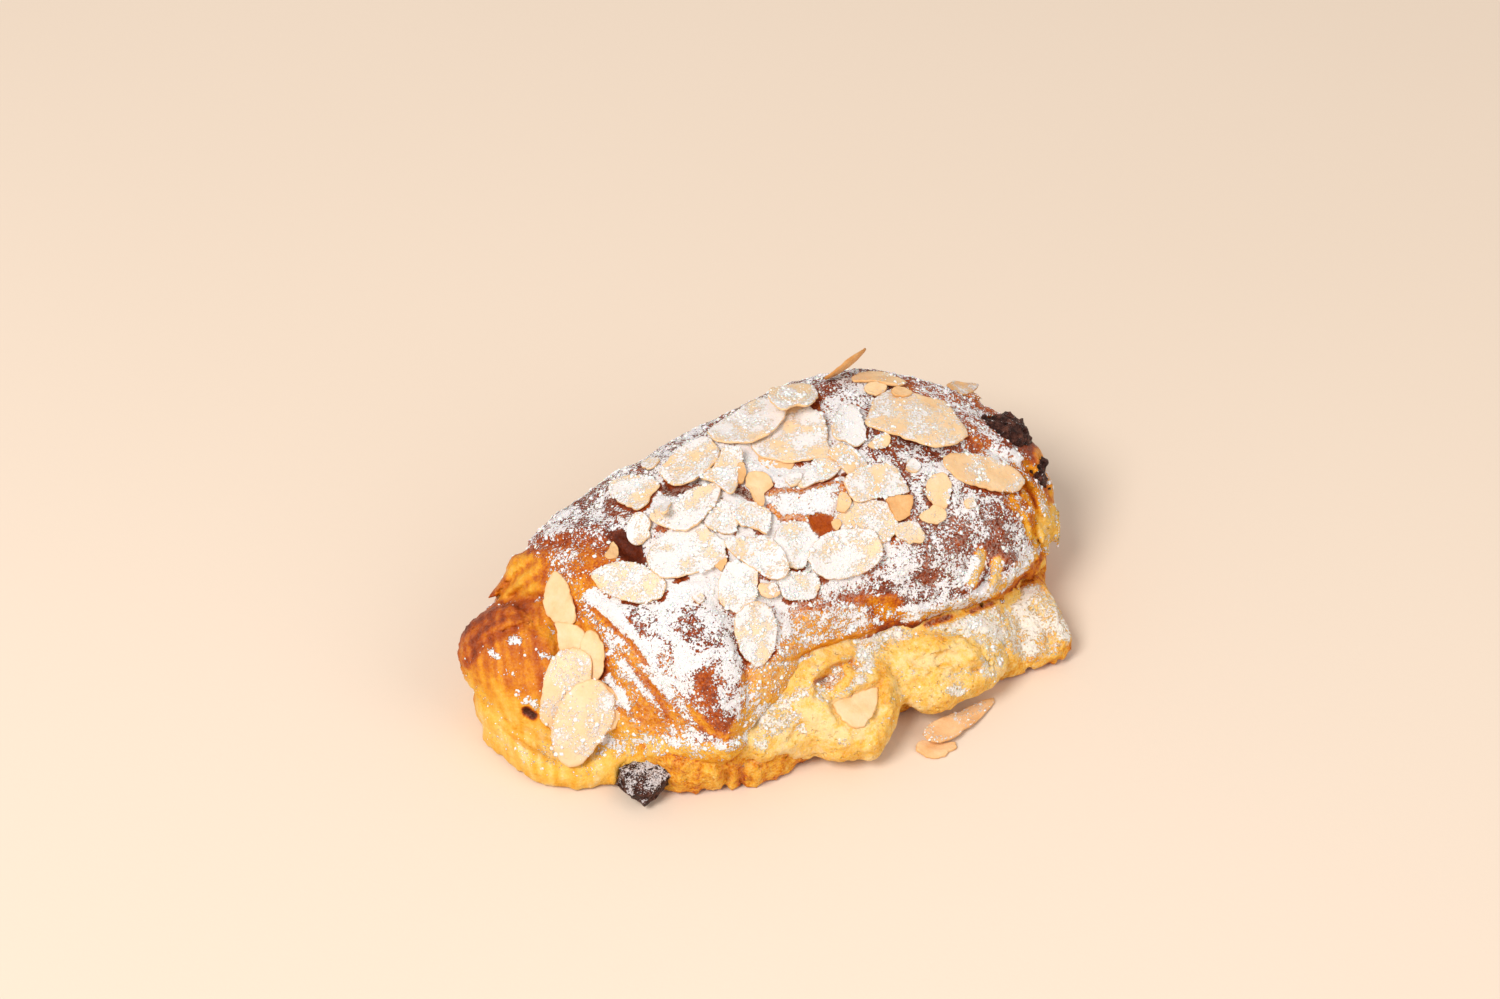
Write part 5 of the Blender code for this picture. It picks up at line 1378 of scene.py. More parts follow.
TOP_SUGAR = [
    ("area", 0.54, 1, 2, (440, 330), (1120, 330), (1120, 840), (440, 840)),
    ("area", 0.53, 1, 3, (520, 540), (600, 500), (740, 400), (880, 370), (760, 360), (600, 440), (500, 540)),
    ("area", 0.38, 1, 3.5, (506, 560), (540, 536), (600, 534), (612, 550), (620, 590), (600, 604), (560, 610), (520, 600)),
    # next to no sugar in the painted shade of the recess beside the left shoulder
    ("area", 0.06, 1, 1.0, (606, 530), (628, 532), (644, 546), (646, 562), (630, 566), (618, 556)),
    ("area", 0.10, 1, 1.5, (474, 618), (490, 590), (508, 564), (526, 552), (546, 566), (546, 590), (520, 602), (498, 606)),
    ("area", 0.20, 1, 3, (452, 650), (500, 600), (560, 600), (600, 640), (600, 720), (560, 800), (480, 780), (456, 700)),
    ("area", 0.00, 1, 1.5, (452, 650), (460, 626), (482, 608), (520, 602), (542, 606), (530, 620), (500, 628), (484, 640), (472, 656)),
    ("area", 0.28, 1, 2.5, (456, 690), (490, 716), (540, 736), (600, 745), (640, 762), (600, 800), (520, 800), (470, 760)),
    ("line", 0.85, 0.9, 0.8, 0.6, (490, 652), (497, 657)),
    ("line", 0.80, 0.9, 0.9, 0.6, (512, 640), (518, 641)),
    ("line", 0.85, 0.9, 1.3, 0.8, (526, 702), (534, 706)),
    ("line", 0.75, 0.9, 1.0, 0.7, (542, 655), (548, 656)),
    ("line", 0.0, 1, 0.9, 0.4, (526, 712), (533, 716)),
    ("area", 0.62, 1, 3, (640, 590), (700, 590), (740, 620), (746, 660), (730, 690), (700, 680), (670, 640), (640, 610)),
    ("area", 0.84, 1, 3, (640, 490), (700, 450), (800, 410), (850, 430), (870, 480), (900, 540), (860, 580), (800, 600), (720, 610), (660, 590)),
    ("line", 0.86, 1, 1.6, 0.7, (594, 596), (612, 616), (634, 640), (652, 668), (668, 694)),
    ("line", 0.74, 1, 1.3, 0.7, (608, 660), (626, 676), (644, 694), (658, 708)),
    ("line", 0.08, 1, 0.35, 0.3, (594, 609), (609, 623), (620, 634), (634, 647), (646, 664)),
    ("line", 0.12, 1, 0.5, 0.4, (598, 646), (610, 651), (623, 657), (637, 674), (653, 689), (664, 709), (671, 723)),
    ("area", 0.46, 1, 1.2, (612, 640), (632, 660), (650, 690), (664, 716), (690, 738), (650, 738), (616, 716), (602, 680)),
    ("line", 0.76, 0.9, 0.7, 0.6, (608, 676), (622, 698), (634, 722)),
    ("line", 0.74, 0.9, 0.6, 0.5, (640, 686), (656, 710), (672, 732)),
    ("line", 0.70, 0.9, 0.6, 0.5, (622, 664), (640, 684)),
    ("area", 0.67, 1, 2.5, (650, 642), (676, 656), (706, 664), (738, 700), (734, 722), (722, 736), (706, 720), (684, 700), (662, 674)),
    ("line", 0.36, 1, 1.4, 1.0, (702, 676), (712, 698), (722, 722)),
    ("line", 0.80, 0.9, 1.0, 0.6, (676, 702), (682, 704)),
    ("line", 0.85, 0.9, 1.0, 0.7, (736, 700), (740, 716)),
    ("line", 0.80, 0.9, 0.9, 0.6, (690, 662), (698, 668)),
    ("line", 0.10, 1, 0.7, 0.4, (694, 714), (712, 732), (726, 739)),
    ("area", 0.20, 1, 1.0, (600, 745), (640, 738), (676, 736), (704, 742), (728, 743), (760, 736), (800, 730), (800, 775), (700, 775), (600, 790)),
    ("line", 0.36, 0.8, 0.7, 0.5, (648, 764), (664, 757), (682, 760), (700, 763), (718, 760), (740, 765)),
    ("area", 0.58, 1, 2, (746, 666), (760, 640), (800, 612), (860, 600), (876, 628), (850, 652), (812, 668), (800, 700), (750, 704)),
    ("area", 0.40, 1, 1.5, (752, 670), (796, 668), (798, 700), (754, 702)),
    ("line", 0.05, 1, 0.6, 0.3, (806, 654), (833, 644), (850, 638), (872, 632)),
    ("area", 0.34, 1, 1.6, (868, 598), (896, 599), (902, 606), (896, 614), (880, 612)),
    ("line", 0.12, 1, 0.7, 0.4, (842, 598), (866, 600), (890, 600), (904, 602)),
    ("area", 0.57, 1, 3, (880, 470), (980, 500), (1030, 552), (990, 590), (900, 600), (880, 560)),
    ("area", 0.46, 1, 2, (930, 505), (990, 512), (1016, 548), (990, 560), (950, 545)),
    ("line", 0.20, 0.9, 1.2, 0.9, (994, 548), (1010, 560), (1022, 558)),
    ("line", 0.70, 0.9, 1.6, 0.8, (908, 612), (940, 604), (976, 594), (1004, 578), (1026, 556)),
    ("line", 0.50, 1, 0.9, 0.5, (981, 554), (979, 566), (973, 582)),
    ("line", 0.50, 1, 0.9, 0.5, (999, 562), (997, 576), (991, 590)),
    ("area", 0.40, 1, 1.2, *RIGHT_LAYERS),
    # bare crust along two grooves of the right-end layers, under their painted shade
    ("line", 0.05, 1, 0.5, 0.3, (1016, 476), (1030, 492), (1038, 510), (1042, 528)),
    ("line", 0.05, 1, 0.5, 0.3, (1028, 470), (1044, 484), (1052, 500)),
    ("area", 0.26, 1, 1.0, (1020, 590), (1024, 566), (1038, 548), (1050, 556), (1048, 580), (1036, 600)),
    ("area", 0.46, 1, 3, (880, 372), (960, 380), (1000, 404), (1020, 440), (980, 450), (930, 440), (890, 410)),
    ("line", 0.78, 1, 1.6, 0.8, (996, 450), (1018, 456)),
    ("area", 0.10, 1, 1.5, (1000, 408), (1030, 408), (1060, 440), (1062, 470), (1036, 462), (1010, 446)),
    ("area", 0.72, 1, 0.8, *SCRAP),
    ("line", 0.30, 1, 0.5, 0.35, (766, 494), (785, 489), (800, 491), (838, 480)),
    ("line", 0.25, 1, 0.8, 0.5, (842, 484), (850, 500), (850, 514), (842, 532)),
    ("line", 0.15, 1, 0.6, 0.35, (768, 506), (782, 519), (800, 517), (806, 528)),
    ("area", 0.02, 1, 0.5, *SPOT),
    # little sugar in the painted shadow of the dents between the flakes
    ("line", 0.10, 1, 1.0, 0.6, (665, 490), (684, 493), (703, 490)),
    ("line", 0.10, 1, 0.9, 0.6, (738, 490), (750, 496)),
]
TOP_FILM = [
    ("area", 0.10, 1, 2, (440, 330), (1120, 330), (1120, 600), (440, 600)),
    ("area", 0.24, 1, 4, (560, 500), (600, 470), (740, 390), (830, 370), (800, 400), (700, 460), (610, 520)),
    ("area", 0.55, 1, 3, (650, 500), (700, 450), (800, 410), (850, 430), (870, 480), (900, 540), (860, 590), (780, 640), (700, 610), (660, 590)),
    ("area", 0.08, 1, 2, (636, 600), (700, 600), (742, 640), (745, 700), (728, 738), (690, 712), (650, 650)),
    ("area", 0.28, 1, 3, (880, 470), (980, 500), (1030, 552), (990, 590), (900, 600), (880, 560)),
    ("area", 0.40, 1, 1.2, (750, 664), (800, 640), (860, 632), (872, 634), (840, 650), (806, 668), (800, 702), (752, 706)),
    ("line", 0.70, 1, 1.2, 0.8, (908, 617), (927, 613), (947, 607), (967, 602), (984, 596), (1004, 584), (1020, 568), (1034, 552)),
    ("area", 0.05, 1, 3, (440, 560), (560, 530), (620, 560), (620, 800), (440, 800)),
    ("area", 0.0, 1, 1.2, (860, 600), (896, 600), (906, 612), (896, 626), (874, 624)),
    ("area", 0.0, 1, 1.5, *RIGHT_LAYERS),
    ("area", 0.0, 1, 0.6, *SPOT),
    # no veil of sugar in the painted shade of the recess beside the left shoulder
    ("area", 0.0, 1, 1.0, (606, 530), (628, 532), (644, 546), (646, 562), (630, 566), (618, 556)),
]


def dusting(p, n, amount, seed):
    """Sugar falls from above: less on steep sides, and in drifts."""
    facing = step(-0.35, 0.55, n[:, 2])
    drift = 0.14 * noise(p, 7.0, seed) + 0.10 * noise(p, 3.0, seed + 1)
    return np.clip(amount * (0.35 + 0.65 * facing) + drift * step(0.05, 0.3, amount), 0, 1) * step(-0.35, 0.1, n[:, 2])


x, y, z = (points - SHIFT).T
view = at_view(points)
left_end = step(-42, -54, x)
start = 0.80 - 0.34 * step(22, 8, z) - 0.3 * left_end * step(14, 3, z)
bake_and_painted_light = paint(points, view, TOP_BAKE_AND_PAINTED_LIGHT, start)
streak = noise(points @ np.array([[0.94, -0.34, 0.0], [0.2, 0.55, 0.81], [-0.28, -0.76, 0.59]]).T, (1.2, 10.0, 3.0), 71)
bake_and_painted_light = bake_and_painted_light + left_end * 0.13 * streak
bake_and_painted_light = np.where(normal[:, 2] < -0.5, np.minimum(bake_and_painted_light, 0.5), bake_and_painted_light)
sugar = dusting(points, normal, paint(points, view, TOP_SUGAR, 0.50), 50)
# sugar that clings to the steep front: the crust's torn edge, the lip and the crumb beside the flap
CLINGING = [
    ("line", 0.66, 1, 1.5, 0.8, (906, 618), (927, 614), (947, 608), (967, 602), (984, 596), (1004, 584), (1020, 568), (1034, 552)),
    ("line", 0.68, 1, 1.9, 1.4, (596, 742), (650, 742), (690, 746), (730, 746), (760, 738)),
    ("line", 0.52, 1, 1.6, 1.2, (560, 748), (600, 752), (640, 752), (680, 754)),
    ("line", 0.42, 1, 1.0, 0.8, (640, 762), (680, 757), (720, 757), (750, 756)),
    ("area", 0.60, 1, 1.5, (744, 706), (760, 698), (806, 696), (806, 716), (770, 732), (742, 740)),
    ("line", 0.36, 1, 2.0, 1.4, (500, 740), (540, 762), (590, 770)),
    ("line", 0.34, 1, 2.0, 1.4, (476, 690), (500, 720)),
    ("area", 0.46, 1, 1.2, (1040, 508), (1060, 510), (1066, 530), (1060, 556), (1046, 552)),
]
sugar = np.maximum(sugar, paint(points, view, CLINGING, 0.0) * (0.85 + 0.35 * noise(points, 2.4, 56)))
# no sugar in the three short pieces of painted shadow in the gap under the crust's front edge
sugar = paint(points, view, [("line", 0.0, 1, 0.5, 0.3, (926, 624), (938, 620), (950, 616)), ("line", 0.10, 1, 0.5, 0.3, (970, 611), (992, 602)), ("line", 0.20, 1, 0.5, 0.3, (1008, 593), (1028, 574))], sugar)
film = paint(points, view, TOP_FILM, 0.2) * step(-0.3, 0.4, normal[:, 2])
gloss = np.clip(0.40 + 0.5 * left_end + 0.5 * step(58, 66, x) + 0.8 * paint(points, view, [("area", 1.0, 1, 0.5, *SPOT), ("area", 0.8, 1, 1, (606, 530), (628, 532), (644, 546), (646, 562), (630, 566), (618, 556))], 0.0), 0, 1)
# bare crust close under the front edges of the flakes, where no sugar fell, and darkened there as painted shade under
# their edges
for node, pl in PLATES.items():
    i = near(points, pl.middle[None], max(pl.length, pl.width) * 0.62 + 1.5)
    if not len(i) or node in ("flake_36", "flake_37", "flake_38"):
        continue
    u, v, w = pl.local(points[i])
    r = np.maximum(pl.reach(u, v), 1e-3)
    outside = np.hypot(u, v) * (1 - 1 / r)
    off = points[i] - pl.middle
    front = -(off @ up) + 0.5 * (off @ right)
    front = front / np.maximum(np.linalg.norm(off, axis=1), 1e-3)
    bare_and_shade_band = step(0.95, 0.25, outside + 0.45 * noise(points[i], 1.8, 57)) * step(-0.05, 0.5, front) * step(-4.0, -2.5, w) * step(1.6, 0.6, w)
    bare_and_shade_band = bare_and_shade_band * step(-0.25, 0.25, noise(points[i], 4.5, 58))
    # painted shade: the crust darkened under the flake's edge
    bake_and_painted_light[i] += (np.maximum(bake_and_painted_light[i], 0.80) - bake_and_painted_light[i]) * 0.9 * bare_and_shade_band
    sugar[i] *= 1 - 0.92 * bare_and_shade_band
    film[i] *= 1 - bare_and_shade_band
crust = piece("crust_upper", points, quads, ["pastry_top"], [PASTRY], {"bake_and_painted_light": bake_and_painted_light, "sugar": sugar, "gloss": gloss, "film": film})
top_points, top_sugar, top_normal = points, sugar, normal

# ------------------------------------------------------------------ base
BASE_PLATES = [
    (-0.9, 0.3, None, (1004, 678), (1036, 672), (1056, 656), (1072, 640), (1080, 650), (1060, 672), (1030, 690), (1000, 692)),
    (0.7, 0.3, None, (650, 768), (668, 762), (700, 766), (712, 772), (700, 786), (676, 792), (656, 780)),
    (0.9, 0.3, None, (744, 768), (756, 766), (764, 774), (756, 788), (746, 790), (741, 778)),
]
BASE_MARKS = [
    (-0.8, 0.8, (700, 768), (704, 780), (701, 792)),
    (-1.3, 0.7, (724, 764), (727, 778), (723, 792)),
    (-1.0, 0.6, (744, 768), (741, 780), (745, 790)),
    (0.9, 1.3, (712, 768), (716, 782)),
    (0.8, 0.9, (736, 774), (732, 790)),
    (1.0, 1.2, (664, 772), (676, 784)),
    (-0.9, 0.6, (684, 774), (692, 788)),
    (-1.0, 0.6, (752, 774), (752, 784)),
    (1.4, 1.8, (1006, 624), (1010, 648), (1012, 672)),
    (-1.2, 1.0, (992, 612), (990, 640), (994, 668)),
    (-0.9, 0.9, (1020, 618), (1022, 644), (1026, 668)),
    (0.9, 1.6, (1036, 596), (1050, 614), (1062, 634)),
    (-0.8, 0.9, (1028, 604), (1040, 622), (1050, 640)),
    (0.6, 1.6, (1026, 600), (1016, 612)),
]


def base_field(p):
    f = sample(BASE_FIELD, p)
    x, y, z = (p - SHIFT).T
    skirt = step(-44, -52, x)
    f = f - (1 - skirt) * (0.5 * noise(p, 12.0, 21) + 0.35 * noise(p, 5.0, 22)) + skirt * 1.0
    f = f - (1 - skirt) * 0.42 * shingles(p * [1, 1, 1.6], np.array([9.0, 6.0, 5.0]), 25)
    slab = step(40, 50, x) * step(-10, -18, y)
    f = f - slab * (0.60 * noise(p, 3.4, 26) + 0.45 * noise(p, 1.7, 27))
    f = f - (1 - slab) * (1 - skirt) * (0.50 * noise(p * [1, 1, 0.6], 2.6, 29) + 0.30 * noise(p, 1.4, 19))
    f = f + slab * 0.6 * step(0.25, 0.5, noise(p, 1.6, 28)) * step(8, 4, z)
    view = at_view(p)
    f = plate(f, p, view, BASE_PLATES)
    f = push(f, view, BASE_MARKS)
    return smax(f, -z - 0.0, 0.6)


CELL = 0.62
points, quads = surface(base_field, (-75, -41, -2), (73, 46, 18), CELL)
points, normal = finish_points(points, quads, 0.24, 60)
points[:, 2] = np.maximum(points[:, 2], 0.0)
BASE_BAKE_AND_SHADE = [
    ("area", 0.20, 1, 2, (440, 640), (600, 700), (650, 760), (600, 800), (440, 800)),
    ("area", 0.36, 1, 2, (640, 756), (800, 756), (800, 800), (640, 810)),
    ("line", 0.24, 0.9, 1.2, 0.6, (712, 768), (714, 788)),
    ("line", 0.22, 0.9, 1.2, 0.6, (748, 768), (758, 776), (756, 788)),
    ("line", 0.62, 0.8, 0.8, 0.5, (741, 768), (742, 792)),
    ("line", 0.58, 0.8, 0.8, 0.5, (766, 782), (790, 776)),
    ("area", 0.15, 1, 2, (900, 600), (1090, 580), (1090, 700), (960, 720), (900, 700)),
    ("area", 0.26, 0.9, 2, (1036, 610), (1060, 606), (1076, 640), (1060, 660), (1036, 668), (1028, 640)),
    # painted shadow of the crust's front edge on the base
    ("line", 0.44, 1, 0.8, 0.5, (1004, 598), (1022, 583), (1036, 566)),
    ("line", 0.40, 0.9, 1.3, 0.8, (1004, 686), (1036, 678), (1060, 660), (1074, 646)),
    ("area", 0.50, 0.8, 1, (1000, 684), (1020, 680), (1020, 696), (1000, 700)),
]
BASE_SUGAR = [
    ("area", 0.22, 1, 2, (640, 756), (800, 756), (800, 800), (640, 810)),
    ("area", 0.54, 1, 2, (900, 600), (1090, 580), (1090, 700), (960, 720), (900, 700)),
    # no sugar in the painted shadow of the crust's front edge
    ("line", 0.05, 1, 0.8, 0.5, (1004, 598), (1022, 583), (1036, 566)),
    ("line", 0.72, 0.9, 1.4, 0.8, (1018, 604), (1026, 614), (1032, 626)),
    ("line", 0.72, 0.9, 1.2, 0.8, (1058, 618), (1066, 636)),
    ("line", 0.32, 1, 1.6, 0.8, (1004, 684), (1036, 674), (1060, 656), (1074, 642)),
    ("area", 0.36, 1, 1, (1002, 640), (1020, 640), (1022, 672), (1004, 678)),
]
x, y, z = (points - SHIFT).T
view = at_view(points)
bake_and_painted_light = paint(points, view, BASE_BAKE_AND_SHADE, 0.48) + 0.12 * noise(points * [1, 1, 0.5], 2.2, 87)
bake_and_painted_light = np.where(normal[:, 2] < -0.6, 0.56, bake_and_painted_light)
sugar = dusting(points, normal, paint(points, view, BASE_SUGAR, 0.15), 52)
base = piece("base_lower", points, quads, ["pastry_base"], [BASE], {"bake_and_painted_light": bake_and_painted_light, "sugar": sugar, "gloss": np.full(len(points), 0.5), "film": 0.10 + 0.85 * step(0.22, 0.5, sugar)})
base_points = points

# ------------------------------------------------------------------ almond cream
fill_rise = along((-36, 2.0), (-30, 3.0), (-20, 5.5), (-6, 5.5), (6, 4.5), (14, 3.0), (24, 2.2), (58, 1.8))
CREAM_PLATES = [
    # the curled lip and the sugared hollow behind it
    (-1.5, 0.5, None, (818, 672), (832, 665), (850, 660), (858, 668), (852, 690), (838, 700), (820, 698), (815, 684)),
    # the crescent over lobe A, with a pale hollow under it
    (1.2, 0.7, None, (884, 656), (890, 642), (904, 634), (924, 632), (944, 632), (962, 637), (978, 648), (984, 662), (976, 664), (962, 652), (946, 650), (930, 654), (914, 660), (898, 656)),
    (-0.9, 0.9, None, (912, 659), (926, 655), (944, 653), (958, 655), (964, 660), (950, 666), (930, 668), (915, 666)),
    (-1.1, 0.25, None, (934, 667), (946, 663), (952, 662), (950, 666), (940, 669)),
        # sugared beige layers between the crust's edge and the slab
    (0.9, 0.3, None, (930, 628), (958, 618), (984, 610), (998, 606), (1004, 622), (996, 634), (980, 630), (960, 630)),
    (0.6, 0.3, None, (984, 640), (1000, 634), (1010, 650), (1006, 672), (992, 668), (984, 656)),
    (0.8, 0.3, None, (756, 706), (776, 702), (800, 702), (806, 720), (790, 728), (762, 726)),
]
# where the cream fills the corner between the flap, the lip and the first lobe
CREAM_LUMPS = [(hit(u, v), r) for u, v, r in ((746, 738, 3.2), (762, 746, 3.6), (772, 728, 3.4), (738, 750, 2.2))]
CREAM_MARKS = [
    (1.5, 0.8, (811, 700), (812, 686), (817, 674), (828, 664), (844, 657), (860, 650)),
    (-1.9, 0.6, (815, 682), (824, 680), (834, 678)),
    (0.8, 0.7, (812, 690), (808, 700)),
    (1.0, 1.0, (846, 668), (850, 674), (846, 682), (838, 688)),
    (1.0, 1.0, (803, 704), (814, 722), (836, 733), (858, 732)),
    (-0.9, 1.6, (835, 712), (850, 716)),
    (1.2, 1.5, (898, 698), (888, 724), (874, 752), (866, 766)),
    (-1.6, 1.5, (904, 708), (910, 718)),
        (-1.6, 0.6, (972, 670), (979, 669)),
    (1.3, 1.0, (903, 662), (908, 667)),
    (1.0, 4.5, (940, 694),),
    (1.0, 3.2, (978, 682),),
    (-0.7, 1.2, (955, 680), (958, 700)),
    (0.9, 3.6, (838, 756),),
    (0.8, 3.2, (792, 746),),
    (-0.8, 1.2, (812, 742), (816, 762)),
    (-1.0, 1.2, (880, 690), (872, 724)),
    (1.0, 1.4, (884, 690), (892, 704)),
    (-0.8, 1.0, (748, 712), (752, 728)),
]


def cream_field(p):
    x, y, z = (p - SHIFT).T
    ooze = sample(OOZE_FIELD, p) - 0.35
    # the layer inside, between the two halves
    yf = np.maximum(crust_front(x) + 2.5, base_front(x) + 1.5)
    yb = np.minimum(crust_back(x) - 2.6, base_back(x) + 1.5)
    top, low = under_z(x) + 0.6, under_z(x) - cream_thick(x) - 0.6
    sheet = np.maximum(np.maximum(yf - y, y - yb), np.maximum(z - top, low - z))
    sheet = smax(sheet, np.maximum(-44 - x, x - 68), 1.0)
    f = smin(ooze, sheet, 1.2)
    # it wells up against the crust's front, so that no gap is left under the edge
    yc, zc = crust_front(x) + 2.0, rim_z(x) + fill_rise(x)
    yo, zo = ooze_y(x) + 3.0, np.minimum(ooze_top(x) - 1.0, zc - 1.0)
    t = np.clip((y - yo) / np.maximum(yc - yo, 1.0), 0, 1)
    rise = np.maximum(z - (zo + (zc - zo) * t), np.maximum(y - yc - 0.5, yo - y))
    rise = np.maximum(rise, np.maximum(zo - 4 - z, np.maximum(-33 - x, x - 50)))
    f = smin(f, rise, 3.0)
    for middle, r in CREAM_LUMPS:
        i = near(p, middle[None], r + 6)
        if len(i):
            f[i] = smin(f[i], np.linalg.norm(p[i] - middle + back * 1.6, axis=1) - r, 2.4)
    f = f - 0.60 * noise(p, 9.0, 31) - 0.34 * noise(p, 4.2, 32) - 0.26 * noise(p, 2.1, 33)
    f = f + 0.45 * step(0.46, 0.66, noise(p, 2.1, 34)) + 0.30 * step(0.44, 0.60, noise(p, 1.2, 35))
    view = at_view(p)
    f = plate(f, p, view, CREAM_PLATES)
    f = push(f, view, CREAM_MARKS)
    return smax(f, -z + 0.3, 0.8)


CELL = 0.56
points, quads = surface(cream_field, (-49, -47, -2), (70, 46, 27), CELL)
points, normal = finish_points(points, quads, 0.30, 80)
points = seat(points)
normal = normals_of(points, quads)
CREAM_BAKE_AND_SHADE = [
    ("area", 0.14, 1, 2, (660, 730), (800, 690), (920, 720), (900, 790), (700, 790)),
    ("area", 0.18, 1, 2, (880, 640), (1000, 620), (1010, 700), (900, 725), (880, 690)),
    ("area", 0.24, 1, 1.5, (690, 752), (740, 748), (800, 760), (860, 772), (780, 775), (700, 765)),
    ("area", 0.20, 1, 1.5, (744, 700), (810, 690), (816, 730), (760, 734)),
    ("line", 0.36, 0.9, 1.2, 0.8, (880, 660), (884, 684), (886, 700)),
    ("line", 0.22, 0.9, 2.0, 1.0, (886, 650), (912, 640), (930, 645)),
    ("line", 0.40, 0.8, 1.0, 0.8, (938, 636), (944, 642)),
    ("area", 0.02, 1, 0.6, (912, 661), (926, 655), (944, 652), (960, 655), (968, 660), (950, 666), (930, 668), (915, 667)),
    # painted shade in two small sunk slits of the cream
    ("line", 0.34, 0.8, 0.35, 0.35, (938, 667), (949, 664)),
    ("line", 0.42, 0.9, 0.5, 0.35, (972, 670), (979, 669)),
    ("line", 0.06, 0.9, 2.2, 1.2, (806, 704), (816, 722), (836, 730)),
    ("line", 0.30, 0.9, 0.5, 0.4, (813, 693), (815, 677), (822, 667), (833, 660), (847, 655), (857, 652)),
    # painted shade: the sugared hollow behind the curled lip darkened to tan, darkest along the slit in it
    ("area", 0.58, 0.9, 1.2, (818, 688), (820, 674), (834, 664), (852, 658), (860, 666), (852, 682), (836, 694)),
    ("line", 0.80, 0.9, 0.5, 0.3, (816, 682), (824, 680), (834, 678)),
    ("line", 0.26, 1, 1.0, 0.4, (846, 668), (850, 674), (846, 682), (838, 688)),
    ("area", 0.30, 0.8, 1.0, (940, 700), (990, 676), (1000, 682), (970, 708), (930, 718)),
    ("area", 0.20, 1, 1.5, (920, 620), (1000, 604), (1012, 640), (1000, 660), (980, 640), (940, 632)),
    ("line", 0.34, 0.8, 1.2, 0.8, (876, 752), (886, 724), (898, 700)),
    ("area", 0.26, 0.8, 1.2, (812, 762), (836, 742), (870, 742), (866, 766), (836, 772)),
    # painted shadow in the gap under the crust's torn front edge, darkest in two short pieces
    ("line", 0.40, 1, 0.8, 0.5, (928, 623), (948, 618), (966, 612), (985, 606), (1004, 597), (1022, 581), (1036, 563)),
    ("line", 0.80, 1, 0.6, 0.4, (926, 625), (938, 621), (950, 617)),
    ("line", 0.74, 1, 0.5, 0.3, (972, 611), (982, 607), (992, 603)),
]
CREAM_SUGAR = [
    ("area", 0.66, 1, 1.5, (744, 700), (812, 690), (816, 730), (760, 736)),
    ("area", 0.44, 1, 1.0, (812, 700), (815, 672), (836, 655), (862, 646), (872, 660), (860, 690), (836, 704)),
    ("line", 0.74, 0.9, 1.2, 0.8, (862, 652), (868, 664), (862, 680)),
    ("line", 0.30, 1, 0.7, 0.4, (813, 693), (815, 677), (822, 667), (833, 660), (847, 655), (857, 652)),
    ("line", 0.10, 1, 1.0, 0.4, (846, 668), (850, 674), (846, 682), (838, 688)),
    ("line", 0.60, 1, 2.0, 1.0, (868, 640), (890, 634), (910, 640)),
    ("area", 0.54, 1, 1.5, (920, 622), (1000, 604), (1014, 640), (1004, 668), (984, 650), (960, 632), (930, 630)),
    ("line", 0.80, 0.9, 1.2, 0.8, (970, 620), (984, 624), (996, 634)),
    ("line", 0.50, 1, 1.6, 1.0, (984, 664), (996, 680)),
    ("area", 0.0, 1, 1.0, (890, 648), (920, 638), (950, 640), (970, 660), (940, 668), (905, 660)),
    ("line", 0.0, 1, 2.0, 1.0, (806, 706), (816, 724), (840, 732)),
    ("line", 0.60, 0.9, 0.9, 0.6, (950, 690), (960, 694)),
    ("line", 0.50, 0.9, 1.0, 0.6, (842, 742), (846, 744)),
    ("line", 0.60, 0.9, 1.2, 0.6, (758, 742), (764, 746)),
    # no sugar in the painted shadow under the crust's front edge
    ("line", 0.05, 1, 0.8, 0.5, (928, 623), (948, 618), (966, 612), (985, 606), (1004, 597), (1022, 581), (1036, 563)),
]
view = at_view(points)
bake_and_painted_light = paint(points, view, CREAM_BAKE_AND_SHADE, 0.16) - 0.09 + 0.08 * noise(points, 3.2, 83) + 0.08 * step(0.25, 0.6, noise(points, 1.6, 84))
sugar = dusting(points, normal, paint(points, view, CREAM_SUGAR, 0.24), 54)
cream = piece("cream_filling", points, quads, ["almond_cream"], [CREAM], {"bake_and_painted_light": bake_and_painted_light, "sugar": sugar, "gloss": np.full(len(points), 0.55), "film": 0.25 + 0.65 * step(0.25, 0.5, sugar)})
cream_points, cream_sugar, cream_normal = points, sugar, normal

